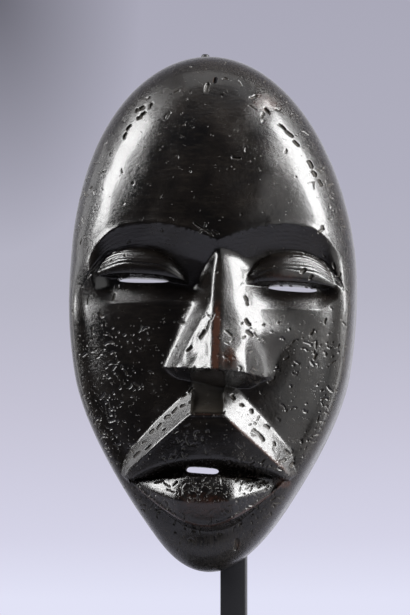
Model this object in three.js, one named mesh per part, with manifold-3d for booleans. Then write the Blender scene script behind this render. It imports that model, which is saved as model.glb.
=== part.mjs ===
// A carved wooden face mask, hollow behind, on its black steel display stand.
// Millimetres, +Z up. The origin is on the table under the post, and the face looks along -Y.
import * as THREE from "three";
import { mergeGeometries, mergeVertices } from "three/addons/utils/BufferGeometryUtils.js";
import Module from "manifold-3d";

const wasm = await Module();
wasm.setup();

// Outline of the mask, seen from the front. It is widest at the height of the cheekbones.
const MASK_WIDTH = 135.2;
const CROWN_HEIGHT = 109.5; // from the widest line up to the top edge
const CHIN_LENGTH = 134; // from the widest line down to the chin's edge
const WIDEST_AT = 15; // the widest line lies this far above the mask's own origin
const AXIS_OFFSET = -2.3; // the hand-cut outline is a little off the face's own axis
const CROWN_LEAN = -2.8; // and drifts sideways at the top
const CHIN_LEAN = -1.2; // and at the chin
const CHIN_PINCH = 0.25; // how much the chin is narrower than a plain ellipse

// Depth of the mask, from the rim at the back to the dome of the face.
const SIDE_WALL = 13;
const DOME_RISE = 41;
const FOREHEAD_BULGE = 5;
const CHIN_FALL = 3;
const CHEEK_DROP = 6; // the cheeks lie this much behind the dome

// Hollow behind the face.
const RIM_WIDTH = 8;
const CHIN_RIM = 10;
const HOLLOW_DEPTH = 32;
const HOLLOW_LIP = 5; // the hollow's side is upright this far in from the rim
const HOLLOW_FULLNESS = 2.8;

// Openings cut through the wall: place of the middle, length, height, turn and fullness.
const LEFT_EYE_SLIT = { at: [-32.4, 14.7], length: 24.4, height: 2.2, turn: -3, full: 2.6 };
const RIGHT_EYE_SLIT = { at: [36.6, 11.1], length: 22.8, height: 2.8, turn: -2, full: 2.6 };
const MOUTH_SLIT = { at: [-3.8, -73.2], length: 15.2, height: 2.9, turn: -4.5, full: 6 };
const HANGING_HOLE = { at: [0.1, 109], length: 3.8, height: 2, turn: 90, full: 2.6 };

// How the mask stands.
const LEAN_BACK = THREE.MathUtils.degToRad(6);
const CHIN_ABOVE_TABLE = 75;
const MASK_SIDEWAYS = -7; // the face's axis from the post's axis
const CLEARANCE = 0.3; // between pieces that touch

// Stand.
const FOOT_WIDTH = 120;
const FOOT_DEPTH = 120;
const FOOT_THICKNESS = 10;
const FOOT_BEVEL = 1;
const SOCKET_DEPTH = 4;
const POST_SIZE = 12;
const POST_TOP = 214; // above the table, hidden behind the nose
const ROD_DIAMETER = 4;
const HOOK_AT = -8.4; // sideways place of the hook on the top rim, in the mask's frame
const HOOK_RISE = 4.9; // the hook's tip stands this much above the top edge

// Fineness of the two sheets that make the wall.
const CARVING_TOLERANCE = 0.5; // how far a facet of the face may lie from the carving
const OUTLINE_TOLERANCE = 0.2; // and from the outline
const FINEST_CELLS = 256;
const HOLLOW_COLUMNS = 18;
const HOLLOW_ROWS = 28;

// The carving was laid out on a mask of this size, and keeps its proportions on another.
const LAYOUT = { width: 135.2, crown: 109.5, chin: 134, rise: 41 };

const { abs, exp, hypot, max, min, sqrt } = Math;
const clamp = (x, low, high) => min(max(x, low), high);
const mix = ([a, b], t) => a + (b - a) * t;

function smoothstep(from, to, x) {
  const t = clamp((x - from) / (to - from), 0, 1);
  return t * t * (3 - 2 * t);
}

// The larger of a and b, with a fillet of width k where they meet.
function softMax(a, b, k) {
  const h = clamp(0.5 + (0.5 * (a - b)) / k, 0, 1);
  return b + (a - b) * h + k * h * (1 - h);
}

const softMin = (a, b, k) => -softMax(-a, -b, k);
const bump = (u, v, cu, cv, ru, rv) => exp(-(((u - cu) / ru) ** 2) - ((v - cv) / rv) ** 2);

// Outline: from the unit disc to the mask's front plane and back.
const halfWidth = MASK_WIDTH / 2;
const topEdge = WIDEST_AT + CROWN_HEIGHT;
const chinEdge = WIDEST_AT - CHIN_LENGTH;
const squeeze = (y) => 1 - CHIN_PINCH * smoothstep(0.3, 1.05, -y);

function centreLine(v) {
  return (
    AXIS_OFFSET +
    CROWN_LEAN * smoothstep(WIDEST_AT, topEdge, v) +
    CHIN_LEAN * smoothstep(0.8 * chinEdge, chinEdge, v)
  );
}

function toPlan(x, y) {
  const v = WIDEST_AT + (y > 0 ? CROWN_HEIGHT : CHIN_LENGTH) * y;
  return [centreLine(v) + halfWidth * x * squeeze(y), v];
}

function toDisc(u, v) {
  const y = clamp((v - WIDEST_AT) / (v > WIDEST_AT ? CROWN_HEIGHT : CHIN_LENGTH), -1, 1);
  return [(u - centreLine(v)) / (halfWidth * squeeze(y)), y];
}

const distanceOut = (u, v) => hypot(...toDisc(u, v));

// Dome: the smooth form that the face is cut from. Pairs are heights where a form sets in
// and where it is full.
const DOME = {
  fullness: 2.35,
  cheekFullness: 3.1,
  cheek: [30, -5],
  jaw: [-115, -75],
  bulge: { at: 62, reach: 42 },
  chinFall: [-60, -115],
};
const CHEEKS = { under: [26, 4], chin: [-120, -100], edge: [0.99, 0.84] };

function dome(u, v) {
  const reach = min(distanceOut(u, v), 1);
  const cheek = smoothstep(...DOME.cheek, v) * smoothstep(...DOME.jaw, v);
  const fullness = DOME.fullness + (DOME.cheekFullness - DOME.fullness) * cheek;
  const bulge = FOREHEAD_BULGE * exp(-(((v - DOME.bulge.at) / DOME.bulge.reach) ** 2));
  const rise = DOME_RISE + bulge - CHIN_FALL * smoothstep(...DOME.chinFall, v);
  return SIDE_WALL + rise * max(1 - reach ** fullness, 0) ** (1 / fullness);
}

function cheeks(u, v) {
  const edge = smoothstep(...CHEEKS.edge, distanceOut(u, v));
  const drop = smoothstep(...CHEEKS.under, v) * smoothstep(...CHEEKS.chin, v);
  return dome(u, v) - CHEEK_DROP * drop * edge;
}

// Eyes: a socket under each brow, with a full upper lid over the slit and a facet below it.
const EYES = {
  axis: 3.4,
  crease: { slope: 0.66, run: 12, ease: 0.3, more: 14 },
  slitDepth: 13.5,
  lidHeight: 8.2,
  lidSeat: 11,
  lidUnder: { slope: 5, drop: 2 },
  browRound: 1,
  socketEdge: [0.985, 0.9],
  socketSides: [64.5, 47],
  lidEdge: [0.985, 0.86],
};
const LEFT_EYE_AT = -35;
const RIGHT_EYE_AT = 37.2;
const eyes = [
  {
    centre: LEFT_EYE_AT,
    half: 24,
    brow: { peak: [-29, 39.8], outer: 7e-4, power: 2.95, inner: 8.6, innerPower: 1.8, run: 32.4 },
    level: 14.6,
    tilt: -0.06,
    lidTop: 15,
    facetEnd: 3.8,
  },
  {
    centre: RIGHT_EYE_AT,
    half: 23.5,
    brow: { peak: [33, 39.5], outer: 3e-4, power: 3.3, inner: 8.3, innerPower: 1.6, run: 29.6 },
    level: 11,
    tilt: -0.01,
    lidTop: 16.5,
    facetEnd: 0.6,
  },
];

function browLine(u) {
  const { peak, outer, power, inner, innerPower, run } = eyes[u < EYES.axis ? 0 : 1].brow;
  const away = abs(u - peak[0]);
  const outside = (u - peak[0]) * peak[0] > 0;
  return peak[1] - (outside ? outer * away ** power : inner * (away / run) ** innerPower);
}

function slitLine({ centre, half, level, tilt }, u) {
  const x = clamp((u - centre) / half, -1.3, 1.3);
  return level + tilt * (u - centre) + 0.9 - 1.8 * x * x;
}

// The left eye's value turns into the right one's across the nose.
function bySide(u, of) {
  const t = smoothstep(EYES.axis - 9, EYES.axis + 9, u);
  return of(eyes[0]) * (1 - t) + of(eyes[1]) * t;
}

function sockets(u, v, base) {
  const brow = browLine(u);
  const slit = bySide(u, (eye) => slitLine(eye, u));
  const end = bySide(u, (eye) => eye.facetEnd);
  if (v >= brow || v <= end) return base;
  const sides = smoothstep(...EYES.socketSides, abs(u - 1));
  const closing = smoothstep(...EYES.socketEdge, distanceOut(u, v)) * sides;
  const { slope, run, ease, more } = EYES.crease;
  const under = min(softMax(brow - v, 0, EYES.browRound), run);
  const down = slope * under + ease * clamp(brow - v - run, 0, more);
  const up =
    CHEEK_DROP + (EYES.slitDepth - CHEEK_DROP) * clamp((v - end) / (slit - end), 0, 1.2);
  const cut = v < slit + 3 ? softMin(down, up, 1.2) : down;
  return min(base, dome(u, v) - max(cut, 0) * closing);
}

function lids(u, v, base) {
  let out = base;
  const seat = dome(u, v) - EYES.lidSeat * smoothstep(...EYES.lidEdge, distanceOut(u, v));
  for (const eye of eyes) {
    const span = max(1 - abs((u - eye.centre) / eye.half) ** 2.6, 0);
    const over = v - slitLine(eye, u);
    const q = over / (eye.lidTop * span ** 0.75 + 1e-3);
    if (span <= 0 || q <= 0 || q >= 1) continue;
    const bulge = sqrt(max(1 - (2 * q ** 0.8 - 1) ** 2, 0));
    const under = EYES.lidUnder.slope * over - EYES.lidUnder.drop;
    out = softMax(out, seat + min(EYES.lidHeight * span ** 0.4 * bulge, under), 0.9);
  }
  return out;
}

// Nose: a straight ridge between two flanks that widen to the wings, cut off flat below.
// Pairs give the value at the bridge and at the tip.
const NOSE = {
  axis: 3.9,
  bridge: 29.5,
  tip: -28.8,
  skew: -0.095,
  root: -3.5,
  rise: 21,
  ridge: { half: 1.9, round: 1.1, from: [-0.1, 0.35] },
  underSlope: 3.8,
  fillet: { left: [2.5, 17], right: [2.5, 12] },
};
const FLANKS = {
  left: {
    facet: 0.78,
    width: [1.2, 18.5],
    widens: [0.35, 1.1],
    side: [1.9, 3.3],
    steepens: [0.45, 1],
    blend: 1.2,
  },
  right: {
    facet: 0.42,
    width: [4.5, 12.5],
    widens: [0, 1],
    side: [1.05, 2.8],
    steepens: [0.65, 1],
    blend: 3,
  },
};
const WINGS = { at: [[-10, -22], [13, -24]], size: [3.6, 5], height: 1.6 };

function flankFall({ facet, width, widens, side, steepens, blend }, out, t) {
  const w = mix(width, smoothstep(...widens, t));
  const slope = mix(side, smoothstep(...steepens, t));
  return softMax(facet * out, facet * w + slope * (out - w), blend);
}

function nose(u, v, base) {
  const { axis, bridge, tip, skew, root, rise, ridge, underSlope, fillet } = NOSE;
  const edge = tip + skew * (u - axis);
  const along = max(v, edge);
  const t = clamp((bridge - along) / (bridge - tip), -1, 1.1);
  const crest = dome(axis, along) + root + (t > 0 ? rise * t : 45 * t);
  const out = softMax(abs(u - axis) - ridge.half * smoothstep(...ridge.from, t), 0, ridge.round);
  let top = crest - flankFall(u < axis ? FLANKS.left : FLANKS.right, out, clamp(t, 0, 1));
  for (const at of WINGS.at) top += WINGS.height * bump(u, along, ...at, ...WINGS.size);
  top -= underSlope * max(edge - v, 0);
  const low = smoothstep(0.1, 0.7, t) * smoothstep(-34, -28, v);
  return softMax(base, top, mix(u < axis ? fillet.left : fillet.right, low));
}

// Mouth: a raised muzzle with chamfered upper edges, a groove under the nose, and two lips.
const MUZZLE = {
  centre: -0.9,
  half: 38,
  lift: 5.2,
  fall: 0.75,
  barSlope: { left: 1.1, right: 0.85 },
  barRound: 0.7,
};
const APEX = { left: [-8.1, -48.2], right: [6.5, -48.2] };
const CORNERS = { left: [-39.3, -74.2], right: [36.5, -74.8] };
const GROOVE = { depth: 12.5, run: 4.5, straight: 10 };
const MOUTH = { half: 37, level: -78.2, upper: 10.8, slit: 5, lower: 1.6, recess: 9.5, hang: 2.5 };
const HANG_FROM = [-52, -72];
const LOWER_LIP = {
  centre: -2,
  bottom: -98.8,
  rise: 0.966,
  round: 20,
  slope: [0.8, 0.95],
  front: 0.55,
  under: 0.45,
  turn: [11, 17],
  flat: [3, 14],
  edgeSlope: 5,
  edgeRound: 1.6,
};

// Distance from the line through a and b, positive above it when b is to the right of a.
function above(u, v, [au, av], [bu, bv]) {
  const length = hypot(bu - au, bv - av);
  return ((v - av) * (bu - au) - (u - au) * (bv - av)) / length;
}

function lipLine(u) {
  const { centre, bottom, rise, round } = LOWER_LIP;
  return bottom + rise * (hypot(u - centre, round) - round);
}

// How far the two bars and the groove between them fall behind the upper lip.
function bars(u, v) {
  const left = MUZZLE.barSlope.left * above(u, v, CORNERS.left, APEX.left);
  const right = MUZZLE.barSlope.right * above(u, v, APEX.right, CORNERS.right);
  const up = max(v - APEX.left[1], 0);
  const groove = GROOVE.depth * (1 - exp(-up / GROOVE.run)) + max(up - GROOVE.straight, 0);
  const inside = smoothstep(-0.3, 0.4, min(u - APEX.left[0], APEX.right[0] - u));
  return softMax(max(left, right), 0, MUZZLE.barRound) * (1 - inside) + groove * inside;
}

function lips(u, v) {
  const span = max(1 - ((u - MUZZLE.centre) / MOUTH.half) ** 2, 0);
  const upper = MOUTH.level + MOUTH.upper * span ** 0.8;
  const slit = MOUTH.level + MOUTH.slit * span;
  const lower = MOUTH.level + MOUTH.lower * span;
  const closing =
    v > slit
      ? clamp((upper - v) / max(upper - slit, 0.5), 0, 1) ** 1.5
      : clamp((v - lower) / max(slit - lower, 0.5), 0, 1);
  const out = -MOUTH.recess * closing * span ** 0.6 - MOUTH.hang * smoothstep(...HANG_FROM, v) * span;
  if (v >= lower + 1) return out;
  const tall = max(lower - lipLine(u), 1);
  const t = clamp((lower - v) / tall, 0, 1);
  const { front, under, centre, flat } = LOWER_LIP;
  const side = smoothstep(-9, 9, u - centre);
  const slope = mix(LOWER_LIP.slope, side) * (0.5 + 0.5 * smoothstep(...flat, abs(u - centre)));
  const swell = softMin(slope * tall * t, slope * front * tall, 2) - under * tall * max(t - front, 0);
  const turned = mix(LOWER_LIP.turn, side) * abs((u - centre) / MOUTH.half) ** 1.6;
  return out + swell - turned * span ** 0.3;
}

function muzzle(u, v, base) {
  const across = min(abs(u - MUZZLE.centre) / MUZZLE.half, 1.3);
  let top = dome(u, v) + MUZZLE.lift * (1 - MUZZLE.fall * across ** 2.2) - bars(u, v) + lips(u, v);
  top = softMin(top, top - LOWER_LIP.edgeSlope * (lipLine(u) - v), LOWER_LIP.edgeRound);
  return softMax(base, top, 0.6);
}

// From a place on the mask to the same place on the layout, and back.
function toLayout(u, v) {
  const up = v > WIDEST_AT ? LAYOUT.crown / CROWN_HEIGHT : LAYOUT.chin / CHIN_LENGTH;
  return [(u * LAYOUT.width) / MASK_WIDTH, WIDEST_AT + (v - WIDEST_AT) * up];
}

function fromLayout(u, v) {
  const up = v > WIDEST_AT ? CROWN_HEIGHT / LAYOUT.crown : CHIN_LENGTH / LAYOUT.chin;
  return [(u * MASK_WIDTH) / LAYOUT.width, WIDEST_AT + (v - WIDEST_AT) * up];
}

// The carved face: depth over the rim's plane at a place of the front plane.
function face(u, v) {
  const place = toLayout(u, v);
  let carved = cheeks(...place);
  for (const carve of [sockets, lids, nose, muzzle]) carved = carve(...place, carved);
  return dome(u, v) + (carved - dome(...place)) * (DOME_RISE / LAYOUT.rise);
}

// The hollow: a smooth dome inside the rim, deeper behind the nose and the muzzle.
const BEHIND_NOSE = { depth: 9, at: [3, -16], size: [12, 20] };
const BEHIND_MOUTH = { depth: 7, at: [0, -72], size: [26, 18] };

function hollow(x, y) {
  const rho = min(hypot(x, y), 1);
  const [u, v] = toHollowPlan(x, y);
  const depth = HOLLOW_DEPTH * max(1 - rho ** HOLLOW_FULLNESS, 0) ** (1 / HOLLOW_FULLNESS);
  const behindNose = BEHIND_NOSE.depth * bump(u, v, ...BEHIND_NOSE.at, ...BEHIND_NOSE.size);
  const behindMouth = BEHIND_MOUTH.depth * bump(u, v, ...BEHIND_MOUTH.at, ...BEHIND_MOUTH.size);
  return depth + (behindNose + behindMouth) * smoothstep(1, 0.7, rho);
}

function toHollowPlan(x, y) {
  const up = CROWN_HEIGHT - RIM_WIDTH;
  const down = CHIN_LENGTH - CHIN_RIM;
  const v = WIDEST_AT + (y > 0 ? up : down) * y;
  return [centreLine(v) + (halfWidth - RIM_WIDTH) * x * squeeze(y), v];
}

// From the square that the sheets are laid out on to the unit disc.
const squareToDisc = (a, b) => [a * sqrt(1 - (b * b) / 2), b * sqrt(1 - (a * a) / 2)];

// A sheet over the unit disc: place(x, y, r) gives the point for each vertex of a square grid.
function sheet(columns, rows, place) {
  const geometry = new THREE.PlaneGeometry(2, 2, columns, rows);
  const at = geometry.attributes.position;
  for (let i = 0; i < at.count; i++) {
    const [x, y] = squareToDisc(at.getX(i), at.getY(i));
    at.setXYZ(i, ...place(x, y, min(hypot(x, y), 1)));
  }
  return geometry;
}

const turnedRound = (geometry) => {
  const index = geometry.index.array;
  for (let i = 0; i < index.length; i += 3)
    [index[i + 1], index[i + 2]] = [index[i + 2], index[i + 1]];
  return geometry;
};

function solidOf(geometry) {
  for (const name of ["normal", "uv"]) geometry.deleteAttribute(name);
  const merged = mergeVertices(geometry, 1e-4);
  return new wasm.Manifold(
    new wasm.Mesh({
      numProp: 3,
      vertProperties: merged.attributes.position.array,
      triVerts: new Uint32Array(merged.index.array),
    }),
  );
}

function meshOf(name, solid, material) {
  const { vertProperties, triVerts } = solid.getMesh();
  const geometry = new THREE.BufferGeometry();
  geometry.setAttribute("position", new THREE.BufferAttribute(vertProperties, 3));
  geometry.setIndex(new THREE.BufferAttribute(triVerts, 1));
  geometry.computeVertexNormals();
  const mesh = new THREE.Mesh(geometry, material);
  mesh.name = name;
  return mesh;
}

// Places of the face's finest grid. Its rings lie closer where the dome is steep.
function facePoint(column, row) {
  const [x, y] = squareToDisc((2 * column) / FINEST_CELLS - 1, (2 * row) / FINEST_CELLS - 1);
  const r = min(hypot(x, y), 1);
  const k = (0.4 * r + 0.6 * Math.sin((r * Math.PI) / 2)) / max(r, 1e-9);
  const [u, v] = toPlan(x * k, y * k);
  const onEdge = [column, row].some((i) => i === 0 || i === FINEST_CELLS);
  return { u, v, w: onEdge ? SIDE_WALL : face(u, v), onEdge };
}

// How far the carving lies from the straight edge between two points, in tolerances.
function misfit(a, b, middle) {
  const u = (a.u + b.u) / 2;
  const v = (a.v + b.v) / 2;
  const step = 0.2;
  const inside = face(u, v);
  const slope = hypot(face(u + step, v) - inside, face(u, v + step) - inside) / step;
  const depth = abs(inside - (a.w + b.w) / 2) / hypot(1, slope);
  const aside = middle.onEdge ? hypot(middle.u - u, middle.v - v) : 0;
  return max(middle.onEdge ? 0 : depth / CARVING_TOLERANCE, aside / OUTLINE_TOLERANCE);
}

// The worst misfit at and below each vertex of the grid, found from the finest cells up, so
// that a triangle splits wherever a smaller one in it has to.
function splitNeeds(points) {
  const size = FINEST_CELLS + 1;
  const need = new Float64Array(size * size);
  const inGrid = (column, row) => min(column, row) >= 0 && max(column, row) < size;
  const settle = (column, row, from, to, finer) => {
    const at = row * size + column;
    let worst = misfit(points(...from), points(...to), points(column, row));
    for (const [i, j] of finer)
      if (inGrid(column + i, row + j)) worst = max(worst, need[at + j * size + i]);
    need[at] = worst;
  };
  for (let half = 1; half < FINEST_CELLS; half *= 2) {
    const h = half / 2;
    const corners = half > 1 ? [[h, h], [h, -h], [-h, h], [-h, -h]] : [];
    const sides = [[half, 0], [-half, 0], [0, half], [0, -half]];
    for (let row = 0; row < size; row += half)
      for (let column = 0; column < size; column += half) {
        const odd = [(column / half) % 2, (row / half) % 2];
        if (odd[0] + odd[1] !== 1) continue;
        const [i, j] = odd[0] ? [half, 0] : [0, half];
        settle(column, row, [column - i, row - j], [column + i, row + j], corners);
      }
    for (let row = half; row < size; row += 2 * half)
      for (let column = half; column < size; column += 2 * half) {
        const i = (column + half) % (4 * half) ? half : -half;
        const j = (row + half) % (4 * half) ? half : -half;
        settle(column, row, [column - i, row - j], [column + i, row + j], sides);
      }
  }
  return (column, row) => need[row * size + column];
}

// The face as right triangles that halve until they follow the carving.
function faceTriangles() {
  const made = new Map();
  const points = (column, row) => {
    const key = row * (FINEST_CELLS + 1) + column;
    if (!made.has(key)) made.set(key, { ...facePoint(column, row), key });
    return made.get(key);
  };
  const need = splitNeeds(points);
  const triangles = [];
  const split = (a, b, c) => {
    const middle = [(a[0] + b[0]) / 2, (a[1] + b[1]) / 2];
    const smallest = abs(a[0] - c[0]) + abs(a[1] - c[1]) <= 1;
    if (!smallest && need(...middle) > 1) {
      split(c, a, middle);
      split(b, c, middle);
    } else triangles.push([a, b, c].map((corner) => points(...corner)));
  };
  const n = FINEST_CELLS;
  split([0, 0], [n, n], [0, n]);
  split([n, n], [0, 0], [n, 0]);
  return triangles;
}

// The closed block behind the face: an upright side wall and a flat back.
function blockSolid() {
  const triangles = faceTriangles();
  const edges = new Map();
  for (const [a, b, c] of triangles)
    for (const [from, to] of [[a, b], [b, c], [c, a]])
      if (!edges.delete(`${to.key},${from.key}`)) edges.set(`${from.key},${to.key}`, [from, to]);
  const behind = ({ u, v }) => ({ u, v, w: 0 });
  const middle = { u: AXIS_OFFSET, v: WIDEST_AT, w: 0 };
  for (const [from, to] of edges.values()) {
    triangles.push([from, behind(from), behind(to)]);
    triangles.push([from, behind(to), to]);
    triangles.push([behind(to), behind(from), middle]);
  }
  const corners = triangles.flat().map(({ u, v, w }) => new THREE.Vector3(u, v, w));
  return solidOf(new THREE.BufferGeometry().setFromPoints(corners));
}

function hollowSolid() {
  const sunk = -2; // the cutter reaches out past the rim's plane
  const lipStart = 1 - 2 / HOLLOW_ROWS; // the outermost ring of the grid is the upright lip
  const inside = sheet(HOLLOW_COLUMNS, HOLLOW_ROWS, (x, y, r) => {
    const along = min(r / lipStart, 1);
    const k = (0.4 * along + 0.6 * Math.sin((along * Math.PI) / 2)) / max(r, 1e-9);
    const [u, v] = toHollowPlan(x * k, y * k);
    return [u, v, r > 1 - 1e-6 ? sunk : HOLLOW_LIP + hollow(x * k, y * k)];
  });
  const mouthOfHollow = sheet(HOLLOW_COLUMNS, HOLLOW_ROWS, (x, y) => [...toHollowPlan(x, y), sunk]);
  return solidOf(mergeGeometries([inside, turnedRound(mouthOfHollow)]));
}

// A narrow opening, cut from behind the mask to in front of it.
function slitSolid({ at, length, height, turn, full }) {
  const outline = [];
  for (let i = 0; i < 28; i++) {
    const angle = (i * 2 * Math.PI) / 28;
    const t = Math.cos(angle);
    const half = (sqrt(1 - abs(t) ** full) * height) / 2;
    outline.push(new THREE.Vector2((t * length) / 2, i < 14 ? half : -half));
  }
  const through = SIDE_WALL + DOME_RISE + 30;
  const geometry = new THREE.ExtrudeGeometry(new THREE.Shape(outline), {
    depth: through,
    bevelEnabled: false,
  });
  geometry.rotateZ(THREE.MathUtils.degToRad(turn));
  const [u, v] = fromLayout(...at);
  geometry.translate(u, v, -5);
  return solidOf(geometry);
}

function maskSolid() {
  const openings = [LEFT_EYE_SLIT, RIGHT_EYE_SLIT, MOUTH_SLIT, HANGING_HOLE].map(slitSolid);
  return [hollowSolid(), ...openings].reduce((mask, cut) => mask.subtract(cut), blockSolid());
}

// Where a point of the mask lies once the mask is on its stand.
const maskFrame = new THREE.Group();
maskFrame.rotation.x = Math.PI / 2 - LEAN_BACK;
// The post's farther front corner meets the curved inner edge of the rim here.
const cornerOut = abs(MASK_SIDEWAYS + centreLine(chinEdge)) + POST_SIZE / 2;
const cornerShare = min(cornerOut / ((halfWidth - RIM_WIDTH) * squeeze(-1)), 0.9);
const seat = toHollowPlan(0, -sqrt(1 - cornerShare ** 2))[1];
maskFrame.position.set(
  MASK_SIDEWAYS,
  -POST_SIZE / 2 - CLEARANCE - seat * Math.sin(LEAN_BACK),
  CHIN_ABOVE_TABLE - chinEdge * Math.cos(LEAN_BACK),
);
maskFrame.updateMatrixWorld(true);
const onStand = (u, v, w) => new THREE.Vector3(u, v, w).applyMatrix4(maskFrame.matrixWorld);

// Stand: a square post with a thin rod that hooks the mask's top rim from behind.
function postSolid() {
  const bottom = FOOT_THICKNESS - SOCKET_DEPTH + CLEARANCE;
  const bar = new THREE.BoxGeometry(POST_SIZE, POST_SIZE, POST_TOP - bottom);
  bar.translate(0, 0, (POST_TOP + bottom) / 2);

  const r = ROD_DIAMETER / 2;
  const gap = r + CLEARANCE;
  // The side of the rod that is farther from the outline's middle meets the curved rim first.
  const rodOut = abs(HOOK_AT - centreLine(topEdge)) + r;
  const rodShare = min(rodOut / (halfWidth - RIM_WIDTH), 0.9);
  const underRim = toHollowPlan(0, sqrt(1 - rodShare ** 2))[1] - gap;
  const run = 3 * ROD_DIAMETER;
  const route = [
    new THREE.Vector3(0, 0, POST_TOP - 2),
    new THREE.Vector3(0, 0, POST_TOP + run),
    onStand(HOOK_AT, underRim, ROD_DIAMETER),
    onStand(HOOK_AT, underRim, -gap),
    onStand(HOOK_AT, topEdge + HOOK_RISE, -gap),
  ];
  return solidOf(bar).add(bentRod(route, r, ROD_DIAMETER * 0.75));
}

// A round rod along a route of straight lengths, with a bend at each corner.
function bentRod(route, radius, bend) {
  const path = new THREE.CurvePath();
  let from = route[0];
  for (let i = 1; i < route.length; i++) {
    const corner = route[i];
    const last = i === route.length - 1;
    const before = last ? corner : towards(corner, route[i - 1], bend);
    path.add(new THREE.LineCurve3(from, before));
    if (last) break;
    from = towards(corner, route[i + 1], bend);
    path.add(new THREE.QuadraticBezierCurve3(before, corner, from));
  }
  const section = new THREE.Shape().absarc(0, 0, radius, 0, 2 * Math.PI);
  const steps = Math.round(path.getLength() / (1.5 * radius));
  return solidOf(new THREE.ExtrudeGeometry(section, { extrudePath: path, steps, curveSegments: 5 }));
}

const towards = (from, to, distance) =>
  to.clone().sub(from).setLength(distance).add(from);

function footSolid() {
  const w = FOOT_WIDTH / 2 - FOOT_BEVEL;
  const d = FOOT_DEPTH / 2 - FOOT_BEVEL;
  const plate = new THREE.Shape([
    new THREE.Vector2(-w, -d),
    new THREE.Vector2(w, -d),
    new THREE.Vector2(w, d),
    new THREE.Vector2(-w, d),
  ]);
  const geometry = new THREE.ExtrudeGeometry(plate, {
    depth: FOOT_THICKNESS - 2 * FOOT_BEVEL,
    bevelThickness: FOOT_BEVEL,
    bevelSize: FOOT_BEVEL,
    bevelSegments: 1,
  });
  geometry.translate(0, 0, FOOT_BEVEL);
  const hole = POST_SIZE + 2 * CLEARANCE;
  const socket = new THREE.BoxGeometry(hole, hole, 2 * SOCKET_DEPTH);
  socket.translate(0, 0, FOOT_THICKNESS);
  return solidOf(geometry).subtract(solidOf(socket));
}

const darkWood = new THREE.MeshStandardMaterial({ color: 0x1c1714, roughness: 0.25, metalness: 0 });
const blackSteel = new THREE.MeshStandardMaterial({ color: 0x0e0e0f, roughness: 0.55, metalness: 0 });

const part = new THREE.Group();
maskFrame.add(meshOf("mask", maskSolid(), darkWood));
part.add(maskFrame);
part.add(meshOf("stand_post", postSolid(), blackSteel));
part.add(meshOf("stand_foot", footSolid(), blackSteel));

export default part;
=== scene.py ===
"""Dress the carved wooden mask and its black steel stand for the studio picture.

Lengths are millimetres in the mask's own frame: u to the viewer's right, v up the
face, and w out of the rim's plane towards the viewer. They turn to metres once, where
a piece is laid on its stand.
"""

import logging
import math
from collections.abc import Callable
from dataclasses import dataclass, field
from enum import Enum
from functools import cached_property, partial

import bmesh
import bpy
import numpy as np
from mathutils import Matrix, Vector

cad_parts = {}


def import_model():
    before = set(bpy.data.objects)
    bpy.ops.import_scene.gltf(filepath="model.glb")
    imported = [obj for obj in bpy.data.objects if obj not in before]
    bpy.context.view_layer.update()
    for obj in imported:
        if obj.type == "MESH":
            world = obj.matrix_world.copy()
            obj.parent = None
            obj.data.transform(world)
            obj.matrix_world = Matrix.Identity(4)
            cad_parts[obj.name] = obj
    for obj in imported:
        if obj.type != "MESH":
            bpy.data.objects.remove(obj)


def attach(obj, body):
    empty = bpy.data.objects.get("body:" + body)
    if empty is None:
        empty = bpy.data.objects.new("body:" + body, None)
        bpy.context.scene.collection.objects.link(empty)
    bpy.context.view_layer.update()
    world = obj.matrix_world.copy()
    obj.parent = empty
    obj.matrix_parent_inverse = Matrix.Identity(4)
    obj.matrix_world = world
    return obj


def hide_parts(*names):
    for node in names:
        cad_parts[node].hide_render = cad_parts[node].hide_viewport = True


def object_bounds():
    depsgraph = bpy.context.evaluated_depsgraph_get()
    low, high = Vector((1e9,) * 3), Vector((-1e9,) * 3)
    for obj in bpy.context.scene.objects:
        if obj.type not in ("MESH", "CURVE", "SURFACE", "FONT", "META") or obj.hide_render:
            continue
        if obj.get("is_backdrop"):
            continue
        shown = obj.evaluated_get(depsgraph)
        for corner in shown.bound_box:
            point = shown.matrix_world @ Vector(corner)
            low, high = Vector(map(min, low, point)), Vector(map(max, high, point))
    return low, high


log = logging.getLogger("mask")

Array = np.ndarray
Point = tuple[float, float]
Adder = Callable[..., bpy.types.Node]  # adds a node to the tree it was made for

MM = 0.001  # metres in a millimetre


# Shared shapes


def smoothstep(start: float, end: float, x: Array) -> Array:
    """Rise smoothly from 0 at start to 1 at end."""
    t = np.clip((x - start) / (end - start), 0, 1)
    return t * t * (3 - 2 * t)


def soft_max(a: Array, b: Array, fillet: float) -> Array:
    """The larger of two surfaces, with a fillet where they meet."""
    h = np.clip(0.5 + 0.5 * (a - b) / fillet, 0, 1)
    return b + (a - b) * h + fillet * h * (1 - h)


def soft_min(a: Array, b: Array, fillet: float) -> Array:
    """The smaller of two surfaces, with a fillet where they meet."""
    return -soft_max(-a, -b, fillet)


def bump(u: Array, v: Array, centre: Point, size: Point) -> Array:
    """A round hump of height 1 at a centre, fading over a size each way."""
    return np.exp(-(((u - centre[0]) / size[0]) ** 2) - ((v - centre[1]) / size[1]) ** 2)


def ridge_line(away: Array, width: float) -> Array:
    """A rounded line of height 1 where a distance is nought, fading over a width."""
    return np.exp(-((away / width) ** 2))


def above_line(u: Array, v: Array, start: Point, end: Point) -> Array:
    """Distance from a line, positive on its upper side when it runs to the right."""
    run, rise = end[0] - start[0], end[1] - start[1]
    return ((v - start[1]) * run - (u - start[0]) * rise) / math.hypot(run, rise)


@dataclass(frozen=True)
class Patch:
    """A soft round patch of the face, with how strong it is in the middle."""

    strength: float
    centre: Point
    size: Point

    def at(self, u: Array, v: Array) -> Array:
        """Strength at each place."""
        return self.strength * bump(u, v, self.centre, self.size)


# The mask's form


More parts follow.
